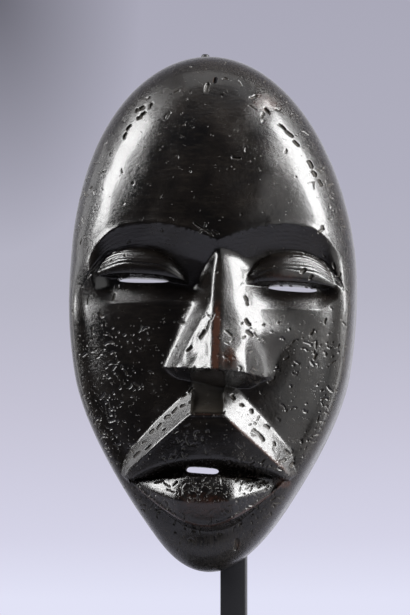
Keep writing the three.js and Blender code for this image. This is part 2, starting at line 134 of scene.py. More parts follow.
@dataclass(frozen=True)
class Outline:
    """The mask's plan, seen from the front, as a stretched unit disc."""

    half_width: float = 67.6
    widest_at: float = 15.0
    crown: float = 109.5
    chin: float = 134.0
    offset: float = -2.3
    crown_lean: float = -2.8
    chin_lean: float = -1.2
    chin_pinch: float = 0.25

    @property
    def top(self) -> float:
        """Height of the top edge."""
        return self.widest_at + self.crown

    @property
    def bottom(self) -> float:
        """Height of the chin's edge."""
        return self.widest_at - self.chin

    def centre(self, v: Array) -> Array:
        """Middle of the hand-cut outline at each height."""
        return (
            self.offset
            + self.crown_lean * smoothstep(self.widest_at, self.top, v)
            + self.chin_lean * smoothstep(0.8 * self.bottom, self.bottom, v)
        )

    def squeeze(self, y: Array) -> Array:
        """How much narrower than an ellipse the plan is at each disc height."""
        return 1 - self.chin_pinch * smoothstep(0.3, 1.05, -y)

    def place(self, x: Array, y: Array, inset: float = 0.0) -> tuple[Array, Array]:
        """Lay points of the unit disc on the plan.

        Args:
            x: Disc position across.
            y: Disc position up.
            inset: How far the whole outline is drawn in, in millimetres.

        Returns:
            The points' u and v.
        """
        v = self.widest_at + (np.where(y > 0, self.crown, self.chin) - inset) * y
        return self.centre(v) + (self.half_width - inset) * x * self.squeeze(y), v

    def disc(self, u: Array, v: Array) -> tuple[Array, Array]:
        """Find the unit disc's point under each point of the plan."""
        y = np.clip((v - self.widest_at) / np.where(v > self.widest_at, self.crown, self.chin), -1, 1)
        return (u - self.centre(v)) / (self.half_width * self.squeeze(y)), y

    def reach(self, u: Array, v: Array) -> Array:
        """Distance out from the middle: 0 there and 1 on the outline."""
        return np.hypot(*self.disc(u, v))


@dataclass(frozen=True)
class Dome:
    """The smooth form that the face is cut from, over an upright side wall."""

    outline: Outline = field(default_factory=Outline)
    side_wall: float = 13.0
    rise: float = 41.0
    forehead_bulge: float = 5.0
    chin_fall: float = 3.0
    cheek_drop: float = 6.0
    bulge_v: float = 62.0
    bulge_size: float = 42.0
    fullness: float = 2.35  # the power of its section: 2 is an ellipse, more is squarer
    cheek_fullness: float = 0.75

    def height(self, u: Array, v: Array) -> Array:
        """Depth of the uncut dome over the rim's plane.

        Args:
            u: Places across.
            v: Places up.

        Returns:
            The depths.
        """
        reach = np.minimum(self.outline.reach(u, v), 1)
        cheek = smoothstep(30, -5, v) * smoothstep(-115, -75, v)
        fullness = self.fullness + self.cheek_fullness * cheek
        rise = self.rise + self.forehead_bulge * ridge_line(v - self.bulge_v, self.bulge_size)
        rise = rise - self.chin_fall * smoothstep(-60, -115, v)
        return self.side_wall + rise * np.maximum(1 - reach**fullness, 0) ** (1 / fullness)

    def cheeks(self, u: Array, v: Array) -> Array:
        """The dome with the face below the brows set back.

        Args:
            u: Places across.
            v: Places up.

        Returns:
            The depths.
        """
        edge = smoothstep(0.99, 0.84, self.outline.reach(u, v))
        drop = smoothstep(26, 4, v) * smoothstep(-120, -100, v)
        return self.height(u, v) - self.cheek_drop * drop * edge


@dataclass(frozen=True)
class Eye:
    """One narrow eye: its brow, its full upper lid, its slit and the facet below."""

    centre: float
    half: float
    brow_peak: Point
    brow_outer: Point  # how fast the brow falls on the outer side: factor and power
    brow_inner: Point  # fall to the nose and power
    brow_reach: float
    slit_v: float
    slit_tilt: float
    slit: tuple[Point, Point]  # the ends of the part that is cut through
    slit_height: float
    lid_top: float
    facet_end: float

    def brow(self, u: Array) -> Array:
        """Height of the brow's edge.

        Args:
            u: Places across.

        Returns:
            The edge's heights.
        """
        peak_u, peak_v = self.brow_peak
        run = np.abs(u - peak_u)
        outside = (u - peak_u) * peak_u > 0
        outer = self.brow_outer[0] * run ** self.brow_outer[1]
        inner = self.brow_inner[0] * (run / self.brow_reach) ** self.brow_inner[1]
        return peak_v - np.where(outside, outer, inner)

    def slit_line(self, u: Array) -> Array:
        """Height of the closed part of the eye, between its corners."""
        x = np.clip((u - self.centre) / self.half, -1.3, 1.3)
        return self.slit_v + self.slit_tilt * (u - self.centre) - 1.8 * x * x + 0.9

    def span(self, u: Array) -> Array:
        """1 at the middle of the lid and 0 at the eye's corners."""
        return np.maximum(1 - np.abs((u - self.centre) / self.half) ** 2.6, 0)

    def across_lid(self, u: Array, v: Array) -> Array:
        """0 on the slit's line and 1 on the lid's upper edge."""
        return (v - self.slit_line(u)) / (self.lid_top * self.span(u) ** 0.75 + 1e-3)


@dataclass(frozen=True)
class Eyes:
    """Both eyes, cut under brows that meet above the nose."""

    dome: Dome
    axis: float = 3.4
    crease_slope: float = 0.66
    crease_run: float = 12.0
    crease_ease: float = 0.3
    slit_depth: float = 13.5
    lid_height: float = 8.2
    lid_seat: float = 11.0
    lid_under: float = 5.0
    left: Eye = Eye(
        centre=-35.0,
        half=24.0,
        brow_peak=(-29.0, 39.8),
        brow_outer=(7.0e-4, 2.95),
        brow_inner=(8.6, 1.8),
        brow_reach=32.4,
        slit_v=14.6,
        slit_tilt=-0.06,
        slit=((-44.6, 15.3), (-20.2, 14.1)),
        slit_height=2.2,
        lid_top=15.0,
        facet_end=3.8,
    )
    right: Eye = Eye(
        centre=37.2,
        half=23.5,
        brow_peak=(33.0, 39.5),
        brow_outer=(3.0e-4, 3.3),
        brow_inner=(8.3, 1.6),
        brow_reach=29.6,
        slit_v=11.0,
        slit_tilt=-0.01,
        slit=((25.2, 11.4), (48.0, 10.7)),
        slit_height=2.8,
        lid_top=16.5,
        facet_end=0.6,
    )

    def by_side(self, u: Array, of: str) -> Array:
        """Blend a line of the left eye into the right one's across the nose.

        Args:
            u: Places across.
            of: Name of the line or size.

        Returns:
            Its value at each place across.
        """
        left, right = getattr(self.left, of), getattr(self.right, of)
        t = smoothstep(self.axis - 9, self.axis + 9, u)
        if callable(left):
            return left(u) * (1 - t) + right(u) * t
        return left + (right - left) * t

    def brow(self, u: Array) -> Array:
        """Height of the edge of both brows, meeting in a V."""
        return np.where(u < self.axis, self.left.brow(u), self.right.brow(u))

    def carve(self, u: Array, v: Array, face: Array) -> Array:
        """Cut the sockets and leave the lids standing in them.

        Args:
            u: Places across.
            v: Places up.
            face: The surface so far.

        Returns:
            The surface with both eyes cut.
        """
        reach = self.dome.outline.reach(u, v)
        brow, slit = self.brow(u), self.by_side(u, "slit_line")
        end = self.by_side(u, "facet_end")
        closing = smoothstep(0.985, 0.90, reach) * smoothstep(64.5, 47.0, np.abs(u - 1.0))
        fall = brow - v
        crease = self.crease_slope * np.minimum(soft_max(fall, 0 * fall, 1.0), self.crease_run)
        crease = crease + self.crease_ease * np.clip(fall - self.crease_run, 0, 14)
        rest = self.dome.cheek_drop
        lower = rest + (self.slit_depth - rest) * np.clip((v - end) / (slit - end), 0, 1.2)
        cut = soft_min(crease, np.where(v < slit + 3, lower, 99.0), 1.2)
        socket = self.dome.height(u, v) - np.maximum(cut, 0) * closing
        inside = (v < brow) & (v > end)
        out = np.where(inside, np.minimum(face, socket), face)
        seat = self.dome.height(u, v) - self.lid_seat * smoothstep(0.985, 0.86, reach)
        for eye in (self.left, self.right):
            q, span = eye.across_lid(u, v), eye.span(u)
            on_lid = (q > 0) & (q < 1) & (span > 0)
            bulge = np.sqrt(np.maximum(1 - (2 * np.clip(q, 0, 1) ** 0.8 - 1) ** 2, 0))
            lid = seat + self.lid_height * span**0.4 * bulge
            lid = np.minimum(lid, seat - 2.0 + self.lid_under * (v - eye.slit_line(u)))
            out = np.where(on_lid, soft_max(out, lid, 0.9), out)
        return out


@dataclass(frozen=True)
class Flank:
    """One side of the nose: a facet beside the ridge and a steeper face below it.

    Pairs give the value at the bridge and at the tip.
    """

    facet_slope: float
    facet_width: Point
    widens: Point  # from where to where down the nose
    side_slope: Point
    steepens: Point
    blend: float  # how softly the two faces meet

    def fall(self, out: Array, t: Array) -> Array:
        """Drop from the crest at each distance out, a share t of the way down.

        Args:
            out: Distances out from the ridge.
            t: Shares of the way down the nose.

        Returns:
            The drops.
        """
        wide, steep = smoothstep(*self.widens, t), smoothstep(*self.steepens, t)
        width = self.facet_width[0] + (self.facet_width[1] - self.facet_width[0]) * wide
        slope = self.side_slope[0] + (self.side_slope[1] - self.side_slope[0]) * steep
        side = self.facet_slope * width + slope * (out - width)
        return soft_max(self.facet_slope * out, side, self.blend)


@dataclass(frozen=True)
class Nose:
    """A straight rounded ridge between two flanks that widen to the wings, cut off below."""

    dome: Dome
    axis: float = 3.9
    bridge: float = 29.5
    tip: float = -28.8
    skew: float = -0.095
    root: float = -3.5
    rise: float = 21.0
    ridge_half: float = 1.9
    ridge_round: float = 1.1
    left: Flank = Flank(
        facet_slope=0.78,
        facet_width=(1.2, 18.5),
        widens=(0.35, 1.1),
        side_slope=(1.9, 3.3),
        steepens=(0.45, 1.0),
        blend=1.2,
    )
    right: Flank = Flank(
        facet_slope=0.42,
        facet_width=(4.5, 12.5),
        widens=(0.0, 1.0),
        side_slope=(1.05, 2.8),
        steepens=(0.65, 1.0),
        blend=3.0,
    )
    under_slope: float = 3.8
    fillet: Point = (2.5, 12.0)
    fillet_left: float = 17.0
    wings: tuple[Point, Point] = ((-10.0, -22.0), (13.0, -24.0))
    wing_size: Point = (3.6, 5.0)
    wing_height: float = 1.6

    def carve(self, u: Array, v: Array, face: Array) -> Array:
        """Stand the nose on the surface so far.

        Args:
            u: Places across.
            v: Places up.
            face: The surface so far.

        Returns:
            The surface with the nose on it.
        """
        edge = self.tip + self.skew * (u - self.axis)
        along = np.maximum(v, edge)
        t = np.clip((self.bridge - along) / (self.bridge - self.tip), -1, 1.1)
        crest = self.dome.height(self.axis + 0 * u, along) + self.root
        crest = crest + np.where(t > 0, self.rise * t, 45 * t)
        half = self.ridge_half * smoothstep(-0.1, 0.35, t)
        out = np.abs(u - self.axis) - half
        out = soft_max(out, 0 * out, self.ridge_round)
        down = np.clip(t, 0, 1)
        fall = np.where(u < self.axis, self.left.fall(out, down), self.right.fall(out, down))
        top = crest - fall
        for wing in self.wings:
            top = top + self.wing_height * bump(u, along, wing, self.wing_size)
        top = top - self.under_slope * np.maximum(edge - v, 0)
        low = smoothstep(0.1, 0.7, t) * smoothstep(-34, -28, v)
        wide = np.where(u < self.axis, self.fillet_left, self.fillet[1])
        return soft_max(face, top, self.fillet[0] + (wide - self.fillet[0]) * low)


@dataclass(frozen=True)
class Muzzle:
    """The raised mouth: bars from the nose to the corners, a groove and two lips."""

    dome: Dome
    centre: float = -0.9
    lift: float = 5.2
    apex_left: Point = (-8.1, -48.2)
    apex_right: Point = (6.5, -48.2)
    corner_left: Point = (-39.3, -74.2)
    corner_right: Point = (36.5, -74.8)
    bar_slope_left: float = 1.1
    bar_slope_right: float = 0.85
    groove_depth: float = 12.5
    groove_run: float = 4.5
    mouth_half: float = 37.0
    mouth_v: float = -78.2
    slit: tuple[Point, Point] = ((-11.4, -72.6), (3.8, -73.8))
    slit_height: float = 3.6
    recess: float = 9.5
    # How far above the mouth's corners each line stands at its middle.
    upper_line: float = 10.8
    slit_line: float = 5.0
    lower_line: float = 1.6
    front_lean: float = 2.5
    lip_centre: float = -2.0
    lip_bottom: float = -98.8
    lip_rise: float = 0.966
    lip_round: float = 20.0
    lip_slope: Point = (0.80, 0.95)  # left and right of its middle
    lip_under: float = 0.45
    lip_turn: Point = (11.0, 17.0)
    lip_front: float = 0.55
    lip_edge_slope: float = 5.0

    def span(self, u: Array) -> Array:
        """1 at the middle of the mouth and 0 at its corners."""
        return np.maximum(1 - ((u - self.centre) / self.mouth_half) ** 2, 0)

    def lip_line(self, u: Array) -> Array:
        """Height of the lower lip's bottom edge, a rounded V."""
        away = np.sqrt((u - self.lip_centre) ** 2 + self.lip_round**2)
        return self.lip_bottom + self.lip_rise * (away - self.lip_round)

    def bars(self, u: Array, v: Array) -> Array:
        """How far the bars and the groove fall behind the upper lip's plateau.

        Args:
            u: Places across.
            v: Places up.

        Returns:
            The fall, nought on the plateau.
        """
        left = above_line(u, v, self.corner_left, self.apex_left)
        right = above_line(u, v, self.apex_right, self.corner_right)
        up = np.maximum(v - self.apex_left[1], 0)
        groove = self.groove_depth * (1 - np.exp(-up / self.groove_run)) + np.maximum(up - 10, 0)
        fall = np.maximum(self.bar_slope_left * left, self.bar_slope_right * right)
        inside = smoothstep(-0.3, 0.4, np.minimum(u - self.apex_left[0], self.apex_right[0] - u))
        return soft_max(fall, 0 * fall, 0.7) * (1 - inside) + groove * inside

    def painted_groove_light(self, u: Array, v: Array) -> Array:
        """1 on the floor of the groove under the nose, which is painted lighter there as a painted reflection
        of the light it faces.
        """
        across = smoothstep(8.6, 6.6, np.abs(u - (self.apex_left[0] + self.apex_right[0]) / 2))
        return across * smoothstep(self.apex_left[1] + 0.4, self.apex_left[1] + 1.6, v) * (v < -30)

    def lips(self, u: Array, v: Array) -> Array:
        """How far the lips stand out from, or fall behind, the muzzle's front.

        Args:
            u: Places across.
            v: Places up.

        Returns:
            The distance out.
        """
        span = self.span(u)
        upper = self.mouth_v + self.upper_line * span**0.8
        slit = self.mouth_v + self.slit_line * span
        lower = self.mouth_v + self.lower_line * span
        top = np.clip((upper - v) / np.maximum(upper - slit, 0.5), 0, 1) ** 1.5
        below = np.clip((v - lower) / np.maximum(slit - lower, 0.5), 0, 1)
        out = -self.recess * np.where(v > slit, top, below) * span**0.6
        out = out - self.front_lean * smoothstep(-52, -72, v) * span
        line = self.lip_line(u)
        t = np.clip((lower - v) / np.maximum(lower - line, 1.0), 0, 1)
        tall = np.maximum(lower - line, 1.0)
        side = smoothstep(-9, 9, u - self.lip_centre)
        slope = self.lip_slope[0] + (self.lip_slope[1] - self.lip_slope[0]) * side
        turn = self.lip_turn[0] + (self.lip_turn[1] - self.lip_turn[0]) * side
        slope = slope * (0.5 + 0.5 * smoothstep(3, 14, np.abs(u - self.lip_centre)))
        swell = soft_min(slope * tall * t, slope * self.lip_front * tall, 2.0)
        swell = swell - self.lip_under * tall * np.maximum(t - self.lip_front, 0)
        round_off = np.abs((u - self.lip_centre) / self.mouth_half) ** 1.6 * self.span(u) ** 0.3
        return out + (swell - turn * round_off) * (v < lower + 1)

    def carve(self, u: Array, v: Array, face: Array) -> Array:
        """Stand the muzzle on the surface so far.

        Args:
            u: Places across.
            v: Places up.
            face: The surface so far.

        Returns:
            The surface with the muzzle on it.
        """
        across = np.clip(np.abs(u - self.centre) / 38, 0, 1.3)
        top = self.dome.height(u, v) + self.lift * (1 - 0.75 * across**2.2)
        top = top - self.bars(u, v) + self.lips(u, v)
        top = soft_min(top, top - self.lip_edge_slope * (self.lip_line(u) - v), 1.6)
        return soft_max(face, top, 0.6)


@dataclass(frozen=True)
class Face:
    """The whole carved face as one surface over the rim's plane."""

    dome: Dome = field(default_factory=Dome)

    @cached_property
    def eyes(self) -> Eyes:
        """Both eyes, on the dome."""
        return Eyes(self.dome)

    @cached_property
    def nose(self) -> Nose:
        """The nose, on the dome."""
        return Nose(self.dome)

    @cached_property
    def muzzle(self) -> Muzzle:
        """The mouth, on the dome."""
        return Muzzle(self.dome)

    def height(self, u: Array, v: Array) -> Array:
        """Depth of the carved surface over the rim's plane.

        Args:
            u: Places across.
            v: Places up.

        Returns:
            The depths.
        """
        face = self.dome.cheeks(u, v)
        for feature in (self.eyes, self.nose, self.muzzle):
            face = feature.carve(u, v, face)
        return face


# Wear


@dataclass(frozen=True)
class Groove:
    """One mark in the wood: a short curved channel, or a round hole where it has no length."""

    at: Point
    length: float
    heading: float
    bend: float
    half_width: float
    depth: float

    def path(self, steps: int = 5) -> Array:
        """Points along the mark's middle, as rows of u and v.

        Args:
            steps: How many points.

        Returns:
            The points.
        """
        s = np.linspace(-0.5, 0.5, steps)
        angle = self.heading + self.bend * s
        step = self.length / (steps - 1)
        points = np.cumsum(np.stack([np.cos(angle), np.sin(angle)], 1) * step, axis=0)
        return points - points.mean(0) + np.array(self.at)

    def distance(self, u: Array, v: Array) -> Array:
        """Distance from each place to the mark's middle line.

        Args:
            u: Places across.
            v: Places up.

        Returns:
            The distances.
        """
        path = self.path()
        best = np.full(u.shape, np.inf)
        for start, end in zip(path[:-1], path[1:]):
            run = end - start
            length = max(float(run @ run), 1e-9)
            t = np.clip(((u - start[0]) * run[0] + (v - start[1]) * run[1]) / length, 0, 1)
            away = np.hypot(u - start[0] - t * run[0], v - start[1] - t * run[1])
            best = np.minimum(best, away)
        return best


@dataclass(frozen=True)
class InsectWear:
    """Channels and pits that insects and age left, thick on the cheeks and mouth."""

    outline: Outline
    tries: int = 9000
    seed: int = 11
    spacing: float = 1.6
    # Share of tries that leave a mark: anywhere, on the forehead, at the temples, on the
    # cheeks, and what the cheeks have more at their edge.
    least: float = 0.008
    plain: float = 0.02
    temple: float = 0.16
    cheek: float = 0.12
    cheek_edge: float = 0.26
    # More marks on the nose's right, the upper lip and the lower lip.
    thick: tuple[Patch, ...] = (
        Patch(0.26, (6, -16), (9, 16)),
        Patch(0.85, (4, -70), (26, 13)),
        Patch(0.9, (-3, -87), (24, 9)),
    )
    # Fewer on the chin and under the eyes.
    spared: tuple[Patch, ...] = (
        Patch(0.3, (-2, -108), (16, 8)),
        Patch(0.6, (-34, 6), (20, 7)),
        Patch(0.6, (37, 3), (20, 7)),
    )
    # Larger holes, near the photograph's places: u, v, length, turn in degrees, half width.
    holes: tuple[tuple[float, float, float, float, float], ...] = (
        (-3.5, 105.0, 3.4, 85, 0.95), (-34.0, 96.0, 1.4, 20, 0.8), (-36.5, 95.0, 0.8, 60, 0.7),
        (-29.8, 96.8, 1.8, 70, 0.6), (-33.2, 92.8, 2.0, 40, 0.6), (-34.8, 91.0, 1.4, 10, 0.75),
        (-40.0, 86.5, 2.4, 55, 0.6), (-41.6, 82.6, 2.2, 75, 0.65), (18.0, 100.5, 2.4, 25, 0.55),
        (24.5, 94.0, 2.6, -50, 0.6), (32.0, 86.0, 2.6, -40, 0.6), (35.0, 83.0, 3.0, -35, 0.75),
        (38.2, 78.6, 2.4, -45, 0.7), (44.8, 69.0, 2.6, -60, 0.8), (46.6, 64.6, 1.6, -50, 0.8),
        (49.4, 60.5, 2.2, -60, 0.65), (11.5, 69.8, 3.6, -10, 0.5), (50.0, 37.5, 2.6, 40, 0.6),
        (-4.5, 37.6, 6.5, -32, 0.4), (-2.2, 36.0, 6.0, -28, 0.35), (-3.2, 36.6, 5.0, 48, 0.35),
        (2.6, 35.2, 3.0, -20, 0.3), (-23.5, -78.5, 4.2, 12, 0.3), (-19.5, -80.0, 3.6, -30, 0.32),
        (-15.5, -79.5, 2.4, 40, 0.35), (-17.5, -82.8, 3.8, -25, 0.3), (-9.0, -36.5, 1.6, 70, 0.7),
        (-12.0, -39.0, 1.2, 20, 0.6), (-8.5, -42.0, 1.4, 60, 0.6), (-12.5, -44.0, 1.4, 30, 0.6),
        (-16.2, -46.0, 2.2, 50, 0.65), (-19.5, -49.0, 1.8, 20, 0.8), (-23.5, -53.2, 2.4, 60, 0.6),
        (-20.6, -55.0, 1.2, 30, 0.45), (-27.0, -55.6, 1.8, 40, 0.7), (-30.5, -60.5, 1.6, 20, 0.5),
        (-28.0, -63.0, 3.0, 42, 0.45), (-34.0, -66.0, 3.4, 42, 0.5), (10.5, -40.0, 1.2, -60, 0.7),
        (14.6, -43.5, 1.0, -20, 0.55), (19.0, -46.2, 1.2, -60, 0.6), (26.0, -53.0, 2.0, -30, 0.5),
        (29.5, -61.0, 1.4, -70, 0.45), (35.0, -64.5, 2.6, -45, 0.5), (-2.5, -12.5, 3.4, 50, 0.8),
        (-8.5, -19.0, 2.0, 40, 0.7), (42.0, 18.5, 1.4, 40, 0.9), (45.5, 15.8, 1.8, 60, 0.6),
        (16.8, 4.0, 3.8, -70, 0.5), (17.5, -6.5, 2.6, -60, 0.7), (18.6, -11.5, 2.8, -40, 0.65),
        (11.0, -106.5, 3.6, 75, 1.0), (-15.0, -56.0, 1.6, 40, 0.6), (24.0, -58.5, 2.4, -50, 0.6),
        (33.0, -68.5, 2.2, 20, 0.7), (37.0, -70.0, 1.6, 60, 0.7), (46.0, -9.5, 2.6, 60, 0.5),
        (47.5, -20.5, 2.4, 70, 0.5), (52.0, -4.0, 2.0, 80, 0.45),
    )

    def density(self, u: Array, v: Array) -> Array:
        """Share of tries that leave a mark at each place of the face.

        Args:
            u: Places across.
            v: Places up.

        Returns:
            The shares.
        """
        outer = smoothstep(16, 42, np.abs(u - 3))
        total = smoothstep(10, -12, v) * (self.cheek + self.cheek_edge * outer)
        total = total + self.plain * smoothstep(20, 60, v)
        edge = smoothstep(0.76, 0.93, self.outline.reach(u, v)) * smoothstep(118, 70, v)
        total = total + self.temple * edge
        total = total + sum(patch.at(u, v) for patch in self.thick)
        total = total - sum(patch.at(u, v) for patch in self.spared)
        return np.clip(total, self.least, 1)

    @cached_property
    def marks(self) -> list[Groove]:
        """The marks at their places and the scattered ones, always the same."""
        rng = np.random.default_rng(self.seed)
        marks = [
            Groove((u, v), length, math.radians(turn), rng.uniform(-0.8, 0.8), half, 0.75 + 0.5 * half)
            for u, v, length, turn, half in self.holes
        ]
        taken = np.array([mark.at for mark in marks])
        waves = rng.uniform(-1, 1, (7, 4))
        for _ in range(self.tries):
            x, y = rng.uniform(-0.97, 0.97, 2)
            chance, shape, heading, bend, size = rng.uniform(0, 1, 5)
            if x * x + y * y > 0.94:
                continue
            u, v = (float(c) for c in self.outline.place(np.float64(x), np.float64(y)))
            cloud = sum(
                math.sin(0.16 * u * (1 + a) + 9 * b) * math.sin(0.16 * v * (1 + c) + 9 * d)
                for a, b, c, d in waves
            )
            share = float(self.density(np.float64(u), np.float64(v)))
            if chance > share * max(0.5 + 0.4 * cloud, 0.06):
                continue
            if np.min(np.hypot(taken[:, 0] - u, taken[:, 1] - v)) < self.spacing:
                continue
            length = 0.0 if shape < 0.3 else 0.5 + 3.2 * ((shape - 0.3) / 0.7) ** 1.8
            half_width = 0.24 + 0.26 * size**1.8 + (0.12 if length == 0 else 0)
            depth = 0.28 + 0.38 * size
            marks.append(Groove((u, v), length, heading * math.pi, (bend - 0.5) * 4.5, half_width, depth))
            taken = np.vstack([taken, [u, v]])
        return marks

    def relief(self, u: Array, v: Array, margin: float = 0.0) -> Array:
        """How deep the marks go at each place, in millimetres.

        Args:
            u: Places across.
            v: Places up.
            margin: Extra half width, to find the places close to a mark.

        Returns:
            The depth at each place.
        """
        depth = np.zeros_like(u)
        order = np.argsort(v)
        sorted_v = v[order]
        for mark in self.marks:
            half = mark.half_width + margin
            reach = mark.length / 2 + half * 1.4
            low, high = np.searchsorted(sorted_v, (mark.at[1] - reach, mark.at[1] + reach))
            near = order[low:high]
            near = near[np.abs(u[near] - mark.at[0]) < reach]
            away = mark.distance(u[near], v[near])
            cut = mark.depth * smoothstep(1.3 * half, 0.4 * half, away)
            depth[near] = np.maximum(depth[near], cut)
        return depth


@dataclass(frozen=True)
class Engraving:
    """Fine lines that follow the lids, and the blade's chatter under the brows."""

    eyes: Eyes
    lines: tuple[float, ...] = (0.43, 0.54, 0.64, 0.73, 0.82, 0.90, 0.97)
    line_depth: float = 0.42
    line_width: float = 0.32
    chatter_mm: float = 1.8
    chatter_depth: float = 0.14

    def depth(self, u: Array, v: Array, margin: float = 0.0) -> Array:
        """How deep the lines go at each place, in millimetres.

        Args:
            u: Places across.
            v: Places up.
            margin: Extra width, to find the places close to a line.

        Returns:
            The depths.
        """
        cut = np.zeros_like(u)
        for eye in (self.eyes.left, self.eyes.right):
            q, span = eye.across_lid(u, v), eye.span(u)
            tall = eye.lid_top * span**0.75
            outer = 0.45 + 0.55 * smoothstep(-6, 14, (u - eye.centre) * np.sign(eye.centre))
            for place in self.lines:
                sway = 0.018 * np.sin(0.35 * u + 7 * place)
                away = np.abs(q - place - sway) * tall
                line = ridge_line(away, self.line_width + margin) * (span > 0.05)
                cut = np.maximum(cut, self.line_depth * line * (outer if place > 0.5 else 1.0))
        facet = self.facet(u, v)
        fall = self.eyes.brow(u) - v
        wave = np.sin(2 * math.pi * fall / self.chatter_mm + 1.5 * np.sin(0.22 * u))
        wave = wave * np.sin(0.11 * u + 1.0)
        return cut + self.chatter_depth * wave * facet * (margin == 0)

    def facet(self, u: Array, v: Array) -> Array:
        """1 on the facets under the brows."""
        fall = self.eyes.brow(u) - v
        return smoothstep(0.5, 2.5, fall) * smoothstep(12, 8, fall)


# Finishes


def linear(hex_colour: str) -> tuple[float, float, float, float]:
    """Turn an sRGB hex colour into a linear one with full alpha.

    Args:
        hex_colour: The colour, as a hash and six digits.

    Returns:
        Its linear red, green and blue, and 1.
    """
    values = [int(hex_colour[i : i + 2], 16) / 255 for i in (1, 3, 5)]
    r, g, b = (c / 12.92 if c <= 0.04045 else ((c + 0.055) / 1.055) ** 2.4 for c in values)
    return (r, g, b, 1.0)


def scale_of(size: float) -> float:
    """Scale of a pattern whose features are a given number of millimetres in size."""
    return 1 / (size * MM)


def feed(node: bpy.types.Node, inputs: dict) -> None:
    """Fill the inputs of a node.

    Args:
        node: The node.
        inputs: What goes into each input, by its name or number: a value, a socket, or
            another node, which gives the first of its outputs that is in use.
    """
    for key, value in inputs.items():
        if isinstance(value, bpy.types.Node):
            value = next(output for output in value.outputs if output.enabled)
        if isinstance(value, bpy.types.NodeSocket):
            node.id_data.links.new(value, node.inputs[key])
        else:
            node.inputs[key].default_value = value


def add_node(
    tree: bpy.types.NodeTree,
    kind: str,
    inputs: dict | None = None,
    stops: tuple[tuple[float, str], ...] = (),
    **settings: object,
) -> bpy.types.Node:
    """Add a node with its settings, its values and its links.

    Args:
        tree: The node tree to add it to.
        kind: Blender's name for the node, without the ShaderNode it starts with.
        inputs: What goes into its inputs, as feed takes it.
        stops: Place and hex colour of each stop of a colour ramp.
        settings: Properties of the node itself.

    Returns:
        The new node.
    """
    node = tree.nodes.new("ShaderNode" + kind)
    for name, value in settings.items():
        setattr(node, name, value)
    if stops:
        elements = node.color_ramp.elements
        elements.remove(elements[-1])
        elements[0].position, elements[0].color = stops[0][0], linear(stops[0][1])
    for position, colour in stops[1:]:
        elements.new(position).color = linear(colour)
    feed(node, inputs or {})
    return node


@dataclass(frozen=True)
class Finish:
    """What the finishes share: a name, and a material made of what goes into its shader."""

    name: str

    def build(self) -> bpy.types.Material:
        """Make the material."""
        material = bpy.data.materials.new(self.name)
        material.use_nodes = True
        tree = material.node_tree
        place = add_node(tree, "TexCoord").outputs["Object"]
        feed(tree.nodes["Principled BSDF"], self.sockets(partial(add_node, tree), place))
        return material

    def sockets(self, add: Adder, place: bpy.types.NodeSocket) -> dict:
        """What goes into the shader's sockets, which each finish gives for itself."""
        raise NotImplementedError


